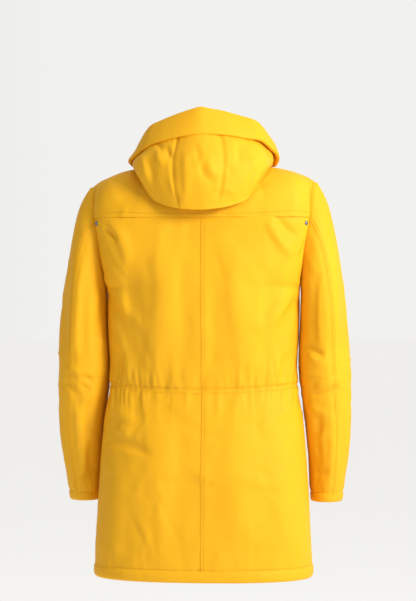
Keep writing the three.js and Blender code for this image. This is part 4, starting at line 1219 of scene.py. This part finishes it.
def pouch_relief(point, u, v):
    sides = np.sin(np.pi * np.clip(u, 0, 1)) ** 0.5
    bottom = np.clip((1 - v) / 0.25, 0, 1) ** 0.5
    soft = 1.6 * crumple(point, (34, 34, 44), 21) * sides * bottom
    return (POCKET_DEPTH - 4.2) * sides * bottom + 2.8 + soft


def flap_relief(point, u, v):
    drop = (v + POCKET_OVER) * POCKET_HEIGHT / POCKET_FLAP
    lift = 2.7 + (POCKET_DEPTH + 3.1) * np.clip(drop / 0.35, 0, 1) ** 0.8
    from_side = np.minimum(u, 1 - u) + POCKET_MARGIN
    edge = np.minimum(from_side * 150, (0.235 - v) * POCKET_HEIGHT)
    return lift - 0.9 * bell(edge - 6, 2) + 0.7 * crumple(point, (24, 24, 24), 22)


class PARKA_OT_pockets(bpy.types.Operator):
    """Builds the patch pockets with their flaps, and the rivets on the back"""

    bl_idname = "parka.pockets"
    bl_label = "Pockets and rivets"

    def execute(self, context):
        wide = (-POCKET_MARGIN, 1 + POCKET_MARGIN, 54)
        tall = (-POCKET_OVER, POCKET_FLAP / POCKET_HEIGHT - POCKET_OVER, 26)
        for side, mirror in SIDES:
            pouch = cloth(f"pocket_pouch_{side}", pocket_at(mirror), (0, 1, 50), (0.04, 1, 50),
                          "shell", pouch_relief)
            rides(pouch, "coat", f"pocket_{side}")
            lid = cloth(f"pocket_lid_{side}", pocket_at(mirror), wide, tall, "shell", flap_relief,
                        wall=3)
            rides(lid, f"{side}_pocket_flap", f"pocket_flap_{side}")
            share, height = np.array([mirror * 0.86]), np.array([YOKE_Z - 12.0])
            points, normals, _ = row_on(back_at, share, height, spans=((-1, 1), (HEM_Z, YOKE_Z)))
            place = points[0] - normals[0] * 0.6
            rivet = dome(f"rivet_dome_{side}", 4.8, 3, place, normals[0])
            rides(rivet, "coat", f"rivet_{side}")
        return {"FINISHED"}


# ---- Stage ----


class PARKA_OT_stage(bpy.types.Operator):
    """Sets the floor, lights and camera"""

    bl_idname = "parka.stage"
    bl_label = "Studio"

    def execute(self, context):
        scene = context.scene
        scene.view_settings.view_transform = "Standard"
        scene.world = self.surroundings()
        self.floor()
        self.light("key", (-2.0, 1.6, 0.8), 1.1, 80)
        self.light("top", (-0.6, 0.8, 2.4), 1.6, 10)
        turn = math.radians(VIEW_TURN)
        right = Vector((-math.cos(turn), -math.sin(turn), 0))
        away = Vector((-math.sin(turn), math.cos(turn), 0))
        camera = bpy.data.cameras.new("camera")
        camera.sensor_fit = "VERTICAL"
        camera.angle = 2 * math.atan(VIEW_SLOPE)
        scene.camera = self.put("camera", camera, away * VIEW_DISTANCE + right * VIEW_SIDE, -away)
        scene.camera.location.z = VIEW_HEIGHT
        return {"FINISHED"}

    def floor(self):
        bm = bmesh.new()
        bmesh.ops.create_grid(bm, x_segments=8, y_segments=8, size=60)
        bmesh.ops.translate(bm, verts=bm.verts, vec=(0, 0, FLOOR_Z))
        _, shader = new_material("studio_floor")
        dial(shader, Base_Color=(0.86, 0.855, 0.84, 1), Roughness=0.8,
             Emission_Color=(0.87, 0.866, 0.848, 1), Emission_Strength=0.3)
        linked("floor", bm, bpy.data.materials["studio_floor"])

    def surroundings(self):
        """Pale light all round, dimmed towards +X and +Y."""
        world = bpy.data.worlds.new("studio")
        world.use_nodes = True
        tree = world.node_tree
        background = tree.nodes["Background"]
        dial(background, Color=(0.885, 0.88, 0.862, 1))
        coords, parts = node_of(tree, "TexCoord"), node_of(tree, "SeparateXYZ")
        tree.links.new(coords.outputs["Generated"], parts.inputs["Vector"])
        product = node_of(tree, "Math")
        product.operation = "MULTIPLY"
        for i, (axis, start, end, low) in enumerate((("X", 0.15, 0.55, 0.6), ("Y", 0.0, 0.5, 0.62))):
            shade = node_of(tree, "MapRange", From_Min=start, From_Max=end, To_Min=1, To_Max=low)
            tree.links.new(parts.outputs[axis], shade.inputs["Value"])
            tree.links.new(shade.outputs["Result"], product.inputs[i])
        tree.links.new(product.outputs["Value"], background.inputs["Strength"])
        return world

    def light(self, name, place, size, power):
        data = bpy.data.lights.new(name, "AREA")
        data.shape = "DISK"
        data.size = size
        data.energy = power
        self.put(name, data, place, Vector((0, 0, -0.3)) - Vector(place))

    def put(self, name, data, place, towards):
        obj = bpy.data.objects.new(name, data)
        bpy.context.scene.collection.objects.link(obj)
        obj.location = place
        obj.rotation_euler = towards.to_track_quat("-Z", "Y").to_euler()
        return obj


def tone(name, description, default):
    return bpy.props.FloatVectorProperty(
        name=name, description=description, default=default, subtype="COLOR", min=0, max=1
    )


def strength(name, description):
    return bpy.props.FloatProperty(
        name=name, description=description, default=1.0, subtype="FACTOR", min=0, max=2
    )


class ParkaSettings(bpy.types.PropertyGroup):
    shell_colour: tone("Shell colour", "Lighter tone of the coated shell", (0.82, 0.41, 0.011))
    shell_shade: tone("Shell shade", "Darker tone of the coated shell", (0.77, 0.38, 0.008))
    lining_colour: tone("Lining colour", "Lighter tone of the lining", (0.03, 0.036, 0.052))
    lining_shade: tone("Lining shade", "Darker tone of the lining", (0.018, 0.022, 0.034))
    fold_depth: strength("Fold depth", "How strongly the cloth folds, 1 as worn")
    waist_gather: strength("Waist gathers", "How strongly the waist puckers behind, 1 as worn")
    seed: bpy.props.IntProperty(
        name="Seed", description="Picks the small folds of the back", default=3, min=0
    )


STEPS = ("body", "inside", "collar", "sleeves", "hood", "front", "pockets", "stage")
OPERATORS = (
    PARKA_OT_body, PARKA_OT_inside, PARKA_OT_collar, PARKA_OT_sleeves,
    PARKA_OT_hood, PARKA_OT_front, PARKA_OT_pockets, PARKA_OT_stage,
)


class PARKA_PT_panel(bpy.types.Panel):
    """Lists the steps that build the parka"""

    bl_idname = "PARKA_PT_panel"
    bl_label = "Rain Parka"
    bl_space_type = "VIEW_3D"
    bl_region_type = "UI"
    bl_category = "Parka"

    def draw(self, context):
        for name in ParkaSettings.__annotations__:
            self.layout.prop(context.scene.parka, name)
        for step in STEPS:
            self.layout.operator(f"parka.{step}")


CLASSES = (ParkaSettings, *OPERATORS, PARKA_PT_panel)


def register():
    for cls in CLASSES:
        bpy.utils.register_class(cls)
    bpy.types.Scene.parka = bpy.props.PointerProperty(type=ParkaSettings)


def unregister():
    del bpy.types.Scene.parka
    for cls in reversed(CLASSES):
        bpy.utils.unregister_class(cls)


def main():
    register()
    for step in STEPS:
        getattr(bpy.ops.parka, step)()


if __name__ == "__main__":
    main()
